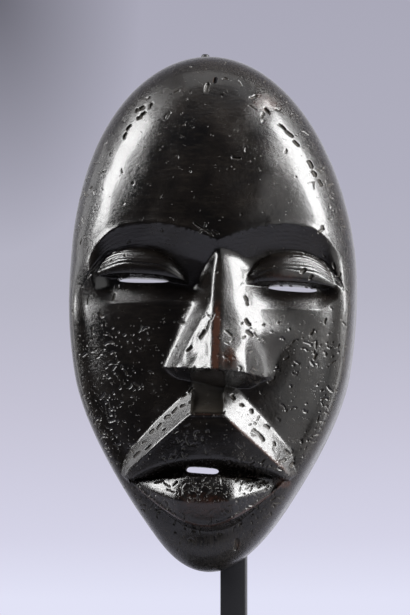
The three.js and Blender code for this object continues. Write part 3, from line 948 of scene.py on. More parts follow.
@dataclass(frozen=True)
class Patina(Finish):
    """Dense carved wood under many coats of oil and smoke, rubbed to a deep gloss.

    The eye sees an almost black lacquer with crisp reflections, thin brown patches where
    handling wore it through, dull pits, and fine scratches that break the highlights.
    """

    name: str = "oiled_wood_patina"
    coat: str = "#171310"
    smoky: str = "#0b0a0a"
    worn: str = "#38231a"
    raw: str = "#8a6238"
    # The grey that settles in pits, fibres and rag strokes; on the floor of the groove under the nose it is a
    # painted reflection.
    dust_and_groove_light: str = "#3d372f"
    gloss: float = 0.12
    dull: float = 0.31
    mottle_mm: float = 22.2
    pore_mm: float = 2.38
    scratch_mm: float = 1.1
    prick_mm: float = 1.3
    track_mm: float = 2.6
    patch_mm: float = 3.4
    stroke_mm: float = 2.0
    fibre_mm: float = 1.0

    def bites(self, add: Adder, place: bpy.types.NodeSocket, worn: bpy.types.NodeSocket) -> bpy.types.Node:
        """Pricks and short tracks too small for the mesh, most of them among the larger marks.

        Args:
            add: Adds a node to the material.
            place: Where each point lies on the piece.
            worn: How thick the insects' marks are there.

        Returns:
            The node that gives 1 in a bite and 0 beside it.
        """
        cells = add("TexVoronoi", {"Vector": place, "Scale": scale_of(self.prick_mm), "Randomness": 1.0})
        chance = add("SeparateColor", {0: cells.outputs["Color"]})
        chosen = add("Math", {0: chance, 1: worn}, operation="LESS_THAN")
        dot = add(
            "MapRange",
            {"Value": cells.outputs["Distance"], "From Min": 0.34, "From Max": 0.14},
            interpolation_type="SMOOTHSTEP",
        )
        pricks = add("Math", {0: dot, 1: chosen}, operation="MULTIPLY")
        # A track runs where one cloud passes its middle and another is high.
        winding = add("TexNoise", {"Vector": place, "Scale": scale_of(self.track_mm), "Detail": 1.0})
        off_middle = add("Math", {0: winding, 1: 0.5}, operation="SUBTRACT")
        off_middle = add("Math", {0: off_middle}, operation="ABSOLUTE")
        track = add(
            "MapRange",
            {"Value": off_middle, "From Min": 0.030, "From Max": 0.010},
            interpolation_type="SMOOTHSTEP",
        )
        patches = add("TexNoise", {"Vector": place, "Scale": scale_of(self.patch_mm), "Detail": 2.0})
        high = add("Math", {0: worn, 1: 0.26, 2: patches}, operation="MULTIPLY_ADD")
        high = add("MapRange", {"Value": high, "From Min": 0.66, "From Max": 0.71})
        tracks = add("Math", {0: track, 1: high}, operation="MULTIPLY")
        return add("Math", {0: tracks, 1: pricks}, operation="MAXIMUM")

    def sockets(self, add: Adder, place: bpy.types.NodeSocket) -> dict:
        """Lay the coat over the wood, with its wear, the grey in its pits and fibres, a painted reflection on
        the floor of the groove under the nose, and its fine relief.

        Args:
            add: Adds a node to the material.
            place: Where each point lies on the piece.

        Returns:
            What goes into the shader's sockets.
        """
        pit_and_groove_light, rub, worn, dry = (
            add("Attribute", attribute_name=name).outputs["Fac"] for name in ("pit_and_groove_light", "rub", "worn", "dry")
        )
        mottle = add(
            "TexNoise", {"Vector": place, "Scale": scale_of(self.mottle_mm), "Detail": 6.0, "Roughness": 0.62}
        )
        pores = add(
            "TexNoise", {"Vector": place, "Scale": scale_of(self.pore_mm), "Detail": 5.0, "Roughness": 0.7}
        )
        # Strokes of the rag, fibres and scratches are drawn out: turn, stretch and size of each.
        strokes, fibres, scratches = (
            add(
                "TexNoise",
                {
                    "Vector": add(
                        "Mapping", {"Vector": place, "Rotation": (0.0, turn, 0.0), "Scale": stretch}
                    ),
                    "Scale": scale_of(size),
                    "Detail": detail,
                    "Roughness": roughness,
                },
            )
            for turn, stretch, size, detail, roughness in (
                (0.9, (0.22, 1.0, 1.0), self.stroke_mm, 4.0, 0.7),
                (0.16, (1.0, 1.0, 0.13), self.fibre_mm, 5.0, 0.75),
                (0.5, (0.25, 1.0, 1.0), self.scratch_mm, 4.0, 0.8),
            )
        )
        bites = self.bites(add, place, worn)
        # The pits' attribute also brings the groove's floor under the nose, painted lighter as a painted
        # reflection.
        hollow = add("Math", {0: pit_and_groove_light, 1: bites}, operation="MAXIMUM")

        ground = add("ValToRGB", {"Fac": mottle}, stops=((0.35, self.smoky), (0.62, self.coat)))
        stroke = add("MapRange", {"Value": strokes, "From Min": 0.5, "From Max": 0.8, "To Max": 0.22})
        ground = add("Mix", {0: stroke, 6: ground.outputs["Color"], 7: linear(self.dust_and_groove_light)}, data_type="RGBA")

        broken = add("Math", {0: pores, 1: 0.5}, operation="SUBTRACT")
        rubbed = add("Math", {0: broken, 1: 0.9, 2: rub}, operation="MULTIPLY_ADD")
        brown = add(
            "MapRange", {"Value": rubbed, "From Min": 0.30, "From Max": 0.75}, interpolation_type="SMOOTHSTEP"
        )
        bare = add("MapRange", {"Value": rubbed, "From Min": 0.92, "From Max": 1.12})
        colour = add("Mix", {0: brown, 6: ground, 7: linear(self.worn)}, data_type="RGBA")
        colour = add("Mix", {0: bare, 6: colour, 7: linear(self.raw)}, data_type="RGBA")

        # The dry zones show the wood's fibres as fine upright streaks.
        streak = add("MapRange", {"Value": fibres, "From Min": 0.42, "From Max": 0.66})
        streaked = add("Math", {0: dry, 1: streak}, operation="MULTIPLY")
        # Pits, bites and dry fibres turn grey; on the groove's floor under the nose the grey is a painted
        # reflection.
        grey = add("Math", {0: streaked, 1: 1.1, 2: hollow}, operation="MULTIPLY_ADD")
        dusty = add("Math", {0: grey, 1: pores}, operation="MULTIPLY")
        colour = add("Mix", {0: dusty, 6: colour, 7: linear(self.dust_and_groove_light)}, data_type="RGBA")

        sheen = add(
            "MapRange",
            {"Value": mottle, "From Min": 0.3, "From Max": 0.7, "To Min": self.gloss, "To Max": self.dull},
        )
        for duller, share in ((stroke, 0.15), (streaked, 0.22), (hollow, 0.3)):
            sheen = add(
                "Math",
                {0: duller, 1: share, 2: sheen},
                operation="MULTIPLY_ADD",
                use_clamp=duller is hollow,
            )

        # Scratches run mostly across the grain, over pores, furrows of dry wood and bites.
        relief = add("Bump", {"Height": scratches, "Strength": 0.2, "Distance": 0.0008})
        relief = add("Bump", {"Height": pores, "Strength": 0.16, "Distance": 0.0012, "Normal": relief})
        relief = add("Bump", {"Height": streaked, "Strength": 0.35, "Distance": 0.0002, "Normal": relief})
        relief = add(
            "Bump", {"Height": bites, "Strength": 0.5, "Distance": 0.00035, "Normal": relief}, invert=True
        )
        return {
            "Base Color": colour,
            "Roughness": sheen,
            "Normal": relief,
            "IOR": 1.5,
            "Coat Weight": 0.35,
            "Coat Roughness": 0.12,
        }


@dataclass(frozen=True)
class HollowWood(Finish):
    """The adzed inside: dry dark-brown wood, darker where hands and sweat stained it."""

    name: str = "adzed_wood_inside"
    pale: str = "#4b3526"
    dark: str = "#1d140e"
    grain_mm: float = 1.6
    stain_mm: float = 55.6
    roughness: float = 0.62

    def sockets(self, add: Adder, place: bpy.types.NodeSocket) -> dict:
        """Draw the upright grain under the stains.

        Args:
            add: Adds a node to the material.
            place: Where each point lies on the piece.

        Returns:
            What goes into the shader's sockets.
        """
        upright = add("Mapping", {"Vector": place, "Scale": (1.0, 1.0, 0.08)})
        size = scale_of(self.grain_mm)
        grain = add("TexNoise", {"Vector": upright, "Scale": size, "Detail": 6.0, "Roughness": 0.65})
        stain = add("TexNoise", {"Vector": place, "Scale": scale_of(self.stain_mm), "Detail": 4.0})
        mixed = add("Math", {0: grain, 1: 0.5, 2: stain}, operation="MULTIPLY_ADD")
        return {
            "Base Color": add("ValToRGB", {"Fac": mixed}, stops=((0.5, self.dark), (0.95, self.pale))),
            "Roughness": self.roughness,
            "Normal": add("Bump", {"Height": grain, "Strength": 0.35, "Distance": 0.0006}),
        }


@dataclass(frozen=True)
class SatinPaint(Finish):
    """Mild steel sprayed satin black: a soft even sheen with a faint orange-peel grain."""

    name: str = "satin_black_paint"
    colour: str = "#19191b"
    dusty: str = "#242427"
    roughness: float = 0.45
    haze_mm: float = 16.7
    peel_mm: float = 1.11

    def sockets(self, add: Adder, place: bpy.types.NodeSocket) -> dict:
        """Spray the colour with a little haze, and its grain.

        Args:
            add: Adds a node to the material.
            place: Where each point lies on the piece.

        Returns:
            What goes into the shader's sockets.
        """
        haze = add("TexNoise", {"Vector": place, "Scale": scale_of(self.haze_mm), "Detail": 4.0})
        peel = add("TexNoise", {"Vector": place, "Scale": scale_of(self.peel_mm), "Detail": 2.0})
        colours = {6: linear(self.colour), 7: linear(self.dusty)}
        return {
            "Base Color": add("Mix", {0: haze} | colours, data_type="RGBA"),
            "Roughness": self.roughness,
            "Normal": add("Bump", {"Height": peel, "Strength": 0.12, "Distance": 0.0004}),
        }


@dataclass(frozen=True)
class FloorPaper(Finish):
    """Matt pale paper, which fades out before it reaches the picture."""

    name: str = "pale_paper"
    colour: str = "#80808a"
    roughness: float = 0.9
    fade: Point = (0.15, 0.45)  # metres out from the foot

    def sockets(self, add: Adder, place: bpy.types.NodeSocket) -> dict:
        """Fade the paper out with the distance from the foot.

        Args:
            add: Adds a node to the material.
            place: Where each point lies on the floor.

        Returns:
            What goes into the shader's sockets.
        """
        away = add("VectorMath", {0: place}, operation="LENGTH")
        start, end = self.fade
        fade = add(
            "MapRange",
            {"Value": away, "From Min": start, "From Max": end, "To Min": 1.0, "To Max": 0.0},
            interpolation_type="SMOOTHERSTEP",
        )
        return {"Base Color": linear(self.colour), "Roughness": self.roughness, "Alpha": fade}


# The carved mask


def vertex_array(bm: bmesh.types.BMesh) -> Array:
    """Places of all vertices as rows."""
    return np.array([vert.co[:] for vert in bm.verts])


def move_vertices(bm: bmesh.types.BMesh, rows: Array) -> None:
    """Give each vertex the place in its row."""
    for vert, row in zip(bm.verts, rows):
        vert.co = row


def extrude(bm: bmesh.types.BMesh, edges: list) -> tuple[list, list]:
    """Extrude edges.

    Args:
        bm: The mesh.
        edges: The edges.

    Returns:
        The new vertices and the new edges.
    """
    grown = bmesh.ops.extrude_edge_only(bm, edges=edges)["geom"]
    verts = [part for part in grown if isinstance(part, bmesh.types.BMVert)]
    return verts, [part for part in grown if isinstance(part, bmesh.types.BMEdge)]


def new_object(name: str, bm: bmesh.types.BMesh) -> bpy.types.Object:
    """Make an object of a bmesh, free the bmesh and link the object to the scene.

    Args:
        name: The object's name.
        bm: The mesh.

    Returns:
        The object.
    """
    mesh = bpy.data.meshes.new(name)
    bm.to_mesh(mesh)
    bm.free()
    piece = bpy.data.objects.new(name, mesh)
    bpy.context.scene.collection.objects.link(piece)
    return piece


def cut_with(piece: bpy.types.Object, cutters: list[bpy.types.Object]) -> None:
    """Cut closed shapes out of a closed piece, and delete the shapes.

    Args:
        piece: The piece.
        cutters: The shapes.
    """
    for cutter in cutters:
        cut = piece.modifiers.new("cut", "BOOLEAN")
        cut.object, cut.operation, cut.solver = cutter, "DIFFERENCE", "MANIFOLD"
    shape = bpy.data.meshes.new_from_object(piece.evaluated_get(bpy.context.evaluated_depsgraph_get()))
    piece.modifiers.clear()
    old, piece.data = piece.data, shape
    bpy.data.meshes.remove(old)
    shape.name = piece.name
    shape.materials.clear()
    for cutter in cutters:
        bpy.data.objects.remove(cutter)


@dataclass(frozen=True)
class Stance:
    """How the mask stands: leaning back, beside the post's axis."""

    lean_deg: float = 6.0
    origin: tuple[float, float, float] = (-7.0, 4.18, 193.35)

    def to_world(self, rows: Array) -> Array:
        """Lay places on the mask on its stand.

        Args:
            rows: Rows of u, v and w.

        Returns:
            Rows of x, y and z, in metres.
        """
        c, s = math.cos(math.radians(self.lean_deg)), math.sin(math.radians(self.lean_deg))
        u, v, w = rows.T
        x, y, z = self.origin
        return np.stack([x + u, y + v * s - w * c, z + v * c + w * s], 1) * MM


@dataclass(frozen=True)
class CarvedMask:
    """The mask itself: carved front, upright side, flat rim, adzed hollow, cut slits."""

    stance: Stance = field(default_factory=Stance)
    face: Face = field(default_factory=Face)
    cells: tuple[int, int] = (124, 178)
    # Two rounds of splitting: how close to a mark, and how far off the surface, a cell may be.
    splits: tuple[Point, ...] = ((0.7, 0.07), (0.25, 0.12))
    # Rings of the side wall, from the front back: height, and how far each is drawn in.
    side_rings: tuple[Point, ...] = ((9.5, 0.0), (5.0, 0.0), (1.6, 0.06), (0.45, 0.3), (0.0, 0.98))
    rim_width: float = 8.0
    chin_rim: float = 10.0
    hollow_cells: tuple[int, int] = (56, 84)
    hollow_lip: float = 5.0
    hollow_depth: float = 32.0
    hollow_fullness: float = 2.8
    behind: tuple[Patch, ...] = (Patch(9, (3, -16), (12, 20)), Patch(7, (0, -72), (26, 18)))
    scoop: float = 0.9
    hole_v: float = 109.0
    hole_size: Point = (2.0, 3.8)
    sway: float = 0.22
    whittled: Patch = Patch(0.28, (-5, -14), (8, 13))
    lip_bead: float = 1.2
    groove_bead: float = 0.45
    bar_bead: float = 0.25
    brow_bead: float = 0.3
    # Where handling wore the coat: the right wing, the crown, the lower lip, the right
    # corner of the mouth, the chip on the chin and the right lid.
    handled: tuple[Patch, ...] = (
        Patch(0.6, (11, -23), (8, 8)),
        Patch(0.62, (24, 98), (9, 7)),
        Patch(0.62, (-2, -90), (18, 8)),
        Patch(1.0, (33, -78.5), (4.5, 2.4)),
        Patch(1.2, (11.5, -106.5), (1.2, 2.6)),
        Patch(0.5, (34, 15), (16, 4)),
    )
    ridge_rub: float = 0.8
    bar_rub: float = 0.8
    top_edge_rub: float = 0.45
    lip_edge_rub: float = 0.8
    dry_edge: float = 0.8
    dry_chin: float = 0.9
    dry_cheek: Patch = Patch(0.35, (44, -25), (16, 30))
    pricked: Point = (0.01, 0.36)  # bites everywhere, and what the insects' marks add
    sharp_deg: float = 58.0

    @property
    def outline(self) -> Outline:
        """The mask's plan."""
        return self.face.dome.outline

    @cached_property
    def wear(self) -> InsectWear:
        """The insects' marks."""
        return InsectWear(self.outline)

    @cached_property
    def engraving(self) -> Engraving:
        """The lines on the lids and under the brows."""
        return Engraving(self.face.eyes)

    def build(self) -> bpy.types.Object:
        """Make the whole piece, dressed."""
        piece = new_object("carved_mask", self.front())
        eyes, muzzle = self.face.eyes, self.face.muzzle
        half = self.hole_size[1] / 2
        cutters = [
            self.hollow(),
            self.slit(*eyes.left.slit, eyes.left.slit_height, -0.5),
            self.slit(*eyes.right.slit, eyes.right.slit_height, 0.3),
            self.slit(*muzzle.slit, muzzle.slit_height * 0.8, 0.0, blunt=3.0),
            self.slit((0.0, self.hole_v - half), (0.3, self.hole_v + half), self.hole_size[0], 0.0),
        ]
        cut_with(piece, cutters)
        self.dress(piece.data)
        piece.data.calc_loop_triangles()
        log.info("carved_mask: %d marks, %d triangles", len(self.wear.marks), len(piece.data.loop_triangles))
        return piece

    def front(self) -> bmesh.types.BMesh:
        """Make the closed block: the carved front, the side wall and a flat back."""
        bm = bmesh.new()
        bmesh.ops.create_grid(bm, x_segments=self.cells[0], y_segments=self.cells[1], size=1.0)
        rows = vertex_array(bm)
        u, v = self.outline.place(*self.to_disc(rows[:, 0], rows[:, 1]))
        move_vertices(bm, np.stack([u, v, 0 * u], 1))
        for close, bend in self.splits:
            self.refine(bm, close, bend)
        rows = vertex_array(bm)
        rows[:, 2] = self.surface(rows[:, 0], rows[:, 1])
        move_vertices(bm, rows)
        self.close_back(bm)
        return bm

    def to_disc(self, a: Array, b: Array) -> tuple[Array, Array]:
        """Turn a square grid into a disc, with rows and rings where the form needs them.

        Args:
            a: Place across the grid, from -1 to 1.
            b: Place up the grid, from -1 to 1.

        Returns:
            The places across and up the unit disc.
        """
        b = np.interp(b, *self.row_share())
        x, y = a * np.sqrt(1 - b * b / 2), b * np.sqrt(1 - a * a / 2)
        r = np.minimum(np.hypot(x, y), 1)
        k = np.interp(r, *self.ring_share()) / np.maximum(r, 1e-9)
        return x * k, y * k

    def row_share(self) -> tuple[Array, Array]:
        """Rows lie closer over the carved part of the face than over the forehead."""
        b = np.linspace(-1, 1, 401)
        weight = 1 + 0.55 * np.exp(-(((b + 0.25) / 0.45) ** 2))
        total = np.concatenate([[0], np.cumsum((weight[1:] + weight[:-1]) / 2)])
        return 2 * total / total[-1] - 1, b

    def ring_share(self) -> tuple[Array, Array]:
        """Rings lie by length along the dome, so that its steep edge has enough."""
        angle = np.linspace(0, math.pi / 2, 801)
        reach, depth = np.sin(angle), np.cos(angle)
        steps = np.hypot(np.diff(reach) * self.outline.half_width, np.diff(depth) * 25)
        total = np.concatenate([[0], np.cumsum(steps)])
        return total / total[-1], reach

    def refine(self, bm: bmesh.types.BMesh, close: float, bend: float) -> None:
        """Split the cells that lie close to a mark or where the surface bends too much.

        Args:
            bm: The front, still flat.
            close: How close to a mark, in millimetres.
            bend: How far the surface may pass a cell's middle, in millimetres.
        """
        rows = vertex_array(bm)
        heights = self.surface(rows[:, 0], rows[:, 1])
        corners = [[vert.index for vert in face.verts] for face in bm.faces]
        counts = np.array([len(ring) for ring in corners])
        starts = np.cumsum(counts) - counts
        flat = np.concatenate([np.array(ring) for ring in corners])
        middle = np.add.reduceat(rows[flat], starts) / counts[:, None]
        u, v = middle[:, 0], middle[:, 1]
        bent = np.abs(np.add.reduceat(heights[flat], starts) / counts - self.surface(u, v)) > bend
        bent |= self.wear.relief(u, v, close) > 0.02
        bent |= self.engraving.depth(u, v, close) > 0.2
        bent |= (self.engraving.facet(u, v) > 0.3) & (close > 0.5)
        bent &= self.outline.reach(u, v) < 0.985
        bm.faces.ensure_lookup_table()
        edges = {edge for i in np.flatnonzero(bent) for edge in bm.faces[i].edges}
        bmesh.ops.subdivide_edges(bm, edges=list(edges), cuts=1, use_grid_fill=True)
        log.info("front: %d of %d cells split", int(bent.sum()), len(bent))

    def surface(self, u: Array, v: Array) -> Array:
        """Depth of the worn front over the rim's plane.

        Args:
            u: Places across.
            v: Places up.

        Returns:
            The depth, with the knife's and the insects' marks in it.
        """
        edge = smoothstep(1.0, 0.96, self.outline.reach(u, v))
        sway = self.sway * np.sin(u * 0.21 + 1.7 * np.sin(v * 0.09)) * np.sin(v * 0.17 + np.sin(u * 0.13))
        facets = np.sin(u * 0.85 + 1.2 * np.sin(v * 0.4)) * np.sin(v * 0.55 + 1.1 * np.sin(u * 0.5))
        sway = sway + facets * self.whittled.at(u, v)
        cut = np.maximum(self.wear.relief(u, v), self.engraving.depth(u, v))
        return self.face.height(u, v) + (sway + self.beads(u, v) - cut) * edge

    def beads(self, u: Array, v: Array) -> Array:
        """Height of the rounded lips that wear left along the mouth's and the brows' edges.

        Args:
            u: Places across.
            v: Places up.

        Returns:
            The height over the carved surface.
        """
        eyes, muzzle = self.face.eyes, self.face.muzzle
        left, right = muzzle.apex_left, muzzle.apex_right
        at_mouth = smoothstep(0.04, 0.3, muzzle.span(u))
        lip = ridge_line(v - muzzle.lip_line(u) - 0.7, 0.9) * at_mouth
        from_middle = np.abs(u - (left[0] + right[0]) / 2)
        half = (right[0] - left[0]) / 2
        groove = ridge_line(v - left[1] + 0.6, 0.6) * smoothstep(half + 1.5, half - 1, from_middle)
        off = np.maximum(
            above_line(u, v, muzzle.corner_left, left), above_line(u, v, right, muzzle.corner_right)
        )
        bars = ridge_line(off + 0.4, 0.5) * at_mouth * (v < left[1])
        brow = ridge_line(v - eyes.brow(u) - 0.6, 0.8) * smoothstep(60, 50, np.abs(u))
        return np.maximum.reduce(
            [self.lip_bead * lip, self.groove_bead * groove, self.bar_bead * bars, self.brow_bead * brow]
        )

    def close_back(self, bm: bmesh.types.BMesh) -> None:
        """Draw the edge down the side wall, round it under and close the back.

        Args:
            bm: The carved front.
        """
        edges = [edge for edge in bm.edges if edge.is_boundary]
        for height, inset in self.side_rings:
            ring, edges = extrude(bm, edges)
            for vert in ring:
                middle = Vector((float(self.outline.centre(np.float64(vert.co.y))), 0.35 * vert.co.y, 0))
                inward = Vector((middle.x - vert.co.x, middle.y - vert.co.y, 0)).normalized()
                vert.co += inward * inset
                vert.co.z = height
        bmesh.ops.contextual_create(bm, geom=edges)
        bmesh.ops.recalc_face_normals(bm, faces=bm.faces)

    def hollow(self) -> bpy.types.Object:
        """Make the cutter for the hollow, with the scallops that the adze left."""
        outline, full = self.outline, self.hollow_fullness
        bm = bmesh.new()
        bmesh.ops.create_grid(bm, x_segments=self.hollow_cells[0], y_segments=self.hollow_cells[1], size=1.0)
        rows = vertex_array(bm)
        x, y = self.to_disc(rows[:, 0], rows[:, 1])
        up, down = outline.crown - self.rim_width, outline.chin - self.chin_rim
        v = outline.widest_at + y * np.where(y > 0, up, down)
        u = outline.centre(v) + (outline.half_width - self.rim_width) * x * outline.squeeze(y)
        reach = np.minimum(np.hypot(x, y), 1)
        depth = self.hollow_depth * np.maximum(1 - reach**full, 0) ** (1 / full)
        depth = depth + sum(patch.at(u, v) for patch in self.behind) * smoothstep(1, 0.7, reach)
        across, along = np.sin(u * 0.30 + 1.3 * np.sin(v * 0.11)), np.sin(v * 0.19 + 0.9 * np.sin(u * 0.17))
        depth = depth + self.scoop * np.abs(across) * np.abs(along) * smoothstep(1, 0.9, reach)
        move_vertices(bm, np.stack([u, v, self.hollow_lip + depth], 1))
        ring, edges = extrude(bm, [edge for edge in bm.edges if edge.is_boundary])
        for vert in ring:
            vert.co.z = -3
        bmesh.ops.contextual_create(bm, geom=edges)
        bmesh.ops.recalc_face_normals(bm, faces=bm.faces)
        return new_object("hollow_cutter", bm)

    def slit(
        self, start: Point, end: Point, height: float, belly: float, blunt: float = 1.3
    ) -> bpy.types.Object:
        """Make the cutter for a narrow lens-shaped opening.

        Args:
            start: Its left or lower end.
            end: Its right or upper end.
            height: Its greatest width across.
            belly: Where it is widest, from -1 at the start to 1 at the end.
            blunt: How full its ends are.

        Returns:
            The cutter, which runs right through the wall.
        """
        bm = bmesh.new()
        bmesh.ops.create_cone(bm, cap_ends=True, segments=48, radius1=1, radius2=1, depth=2)
        run, rise = end[0] - start[0], end[1] - start[1]
        length = math.hypot(run, rise)
        rows = vertex_array(bm)
        t = rows[:, 0]
        full = np.maximum(1 - np.abs(t) ** (2 * blunt), 0) ** 0.5 * (1 + 0.45 * belly * t)
        side = np.sign(rows[:, 1]) * full * height / 2
        side = np.where(np.abs(rows[:, 1]) < 1e-6, 0, side)
        mid_u, mid_v = (start[0] + end[0]) / 2, (start[1] + end[1]) / 2
        u = mid_u + (t * length / 2 * run - side * rise) / length
        v = mid_v + (t * length / 2 * rise + side * run) / length
        move_vertices(bm, np.stack([u, v, 35 + 42 * rows[:, 2]], 1))
        bmesh.ops.recalc_face_normals(bm, faces=bm.faces)
        return new_object("slit_cutter", bm)

    def dress(self, mesh: bpy.types.Mesh) -> None:
        """Write what the finishes read, give the finishes, and lay the mask on its stand.

        Args:
            mesh: The cut mask.
        """
        flat = np.zeros(len(mesh.vertices) * 3)
        mesh.vertices.foreach_get("co", flat)
        rows = flat.reshape(-1, 3)
        u, v, _ = rows.T
        # The groove's floor under the nose goes in with the pits, to be painted lighter as a painted
        # reflection.
        dirt_and_groove_light = np.maximum(self.wear.relief(u, v) / 0.5, self.face.muzzle.painted_groove_light(u, v))
        for name, values in (
            ("pit_and_groove_light", np.clip(dirt_and_groove_light, 0, 1) * (self.outline.reach(u, v) < 0.99)),
            ("rub", self.rub(u, v)),
            ("dry", self.dry(u, v)),
            ("worn", self.pricked[0] + self.pricked[1] * self.wear.density(u, v)),
        ):
            layer = mesh.attributes.new(name, "FLOAT", "POINT")
            layer.data.foreach_set("value", values.astype(np.float32))
        for finish in (Patina(), HollowWood()):
            mesh.materials.append(finish.build())
        centre = np.zeros(len(mesh.polygons) * 3)
        mesh.polygons.foreach_get("center", centre)
        u, v, w = centre.reshape(-1, 3).T
        inside = (w < self.face.height(u, v) - 2.5) & (self.outline.reach(u, v) < 0.94)
        mesh.polygons.foreach_set("material_index", inside.astype(np.int32))
        mesh.polygons.foreach_set("use_smooth", np.ones(len(mesh.polygons), dtype=bool))
        mesh.vertices.foreach_set("co", self.stance.to_world(rows).ravel())
        mesh.update()
        mesh.set_sharp_from_angle(angle=math.radians(self.sharp_deg))

    def rub(self, u: Array, v: Array) -> Array:
        """How far handling has worn the patina through.

        Args:
            u: Places across.
            v: Places up.

        Returns:
            The wear, from 0 to about 1.
        """
        nose, muzzle = self.face.nose, self.face.muzzle
        ridge = ridge_line(u - nose.axis, 2.6) * smoothstep(14, -8, v) * smoothstep(-33, -27, v)
        bar = ridge_line(above_line(u, v, muzzle.apex_right, muzzle.corner_right), 1.2)
        bar = bar * smoothstep(5, 12, u) * smoothstep(40, 32, u)
        top_edge = ridge_line(v + 48.6, 0.8) * smoothstep(10, 5, np.abs(u + 0.8))
        lip_edge = ridge_line(v - muzzle.lip_line(u) - 0.4, 0.6) * (muzzle.span(u) > 0.2)
        lines = [
            self.ridge_rub * ridge,
            self.bar_rub * bar,
            self.top_edge_rub * top_edge,
            self.lip_edge_rub * lip_edge,
        ]
        return np.clip(np.maximum.reduce(lines + [patch.at(u, v) for patch in self.handled]), 0, 1.3)

    def dry(self, u: Array, v: Array) -> Array:
        """How matt and fibrous the coat is: at the outer edge, the jaw and the chin.

        Args:
            u: Places across.
            v: Places up.

        Returns:
            The dryness, from 0 to 1.
        """
        outer = self.dry_edge * smoothstep(0.86, 0.98, self.outline.reach(u, v))
        chin = self.dry_chin * smoothstep(-94, -106, v)
        return np.maximum.reduce([outer, chin, self.dry_cheek.at(u, v)])


# The stand


def rounded_block(
    bm: bmesh.types.BMesh, size: tuple[float, float, float], bottom: float, edge: float
) -> None:
    """Stand a block with softened edges on the stand's axis.

    Args:
        bm: An empty mesh.
        size: The block's length each way.
        bottom: Height of its underside.
        edge: How far its edges are softened.
    """
    made = bmesh.ops.create_cube(bm, size=1.0)["verts"]
    bmesh.ops.scale(bm, verts=made, vec=size)
    bmesh.ops.translate(bm, verts=made, vec=(0, 0, bottom + size[2] / 2))
    bmesh.ops.bevel(bm, geom=bm.edges[:], offset=edge, affect="EDGES", segments=3, profile=0.5, material=-1)


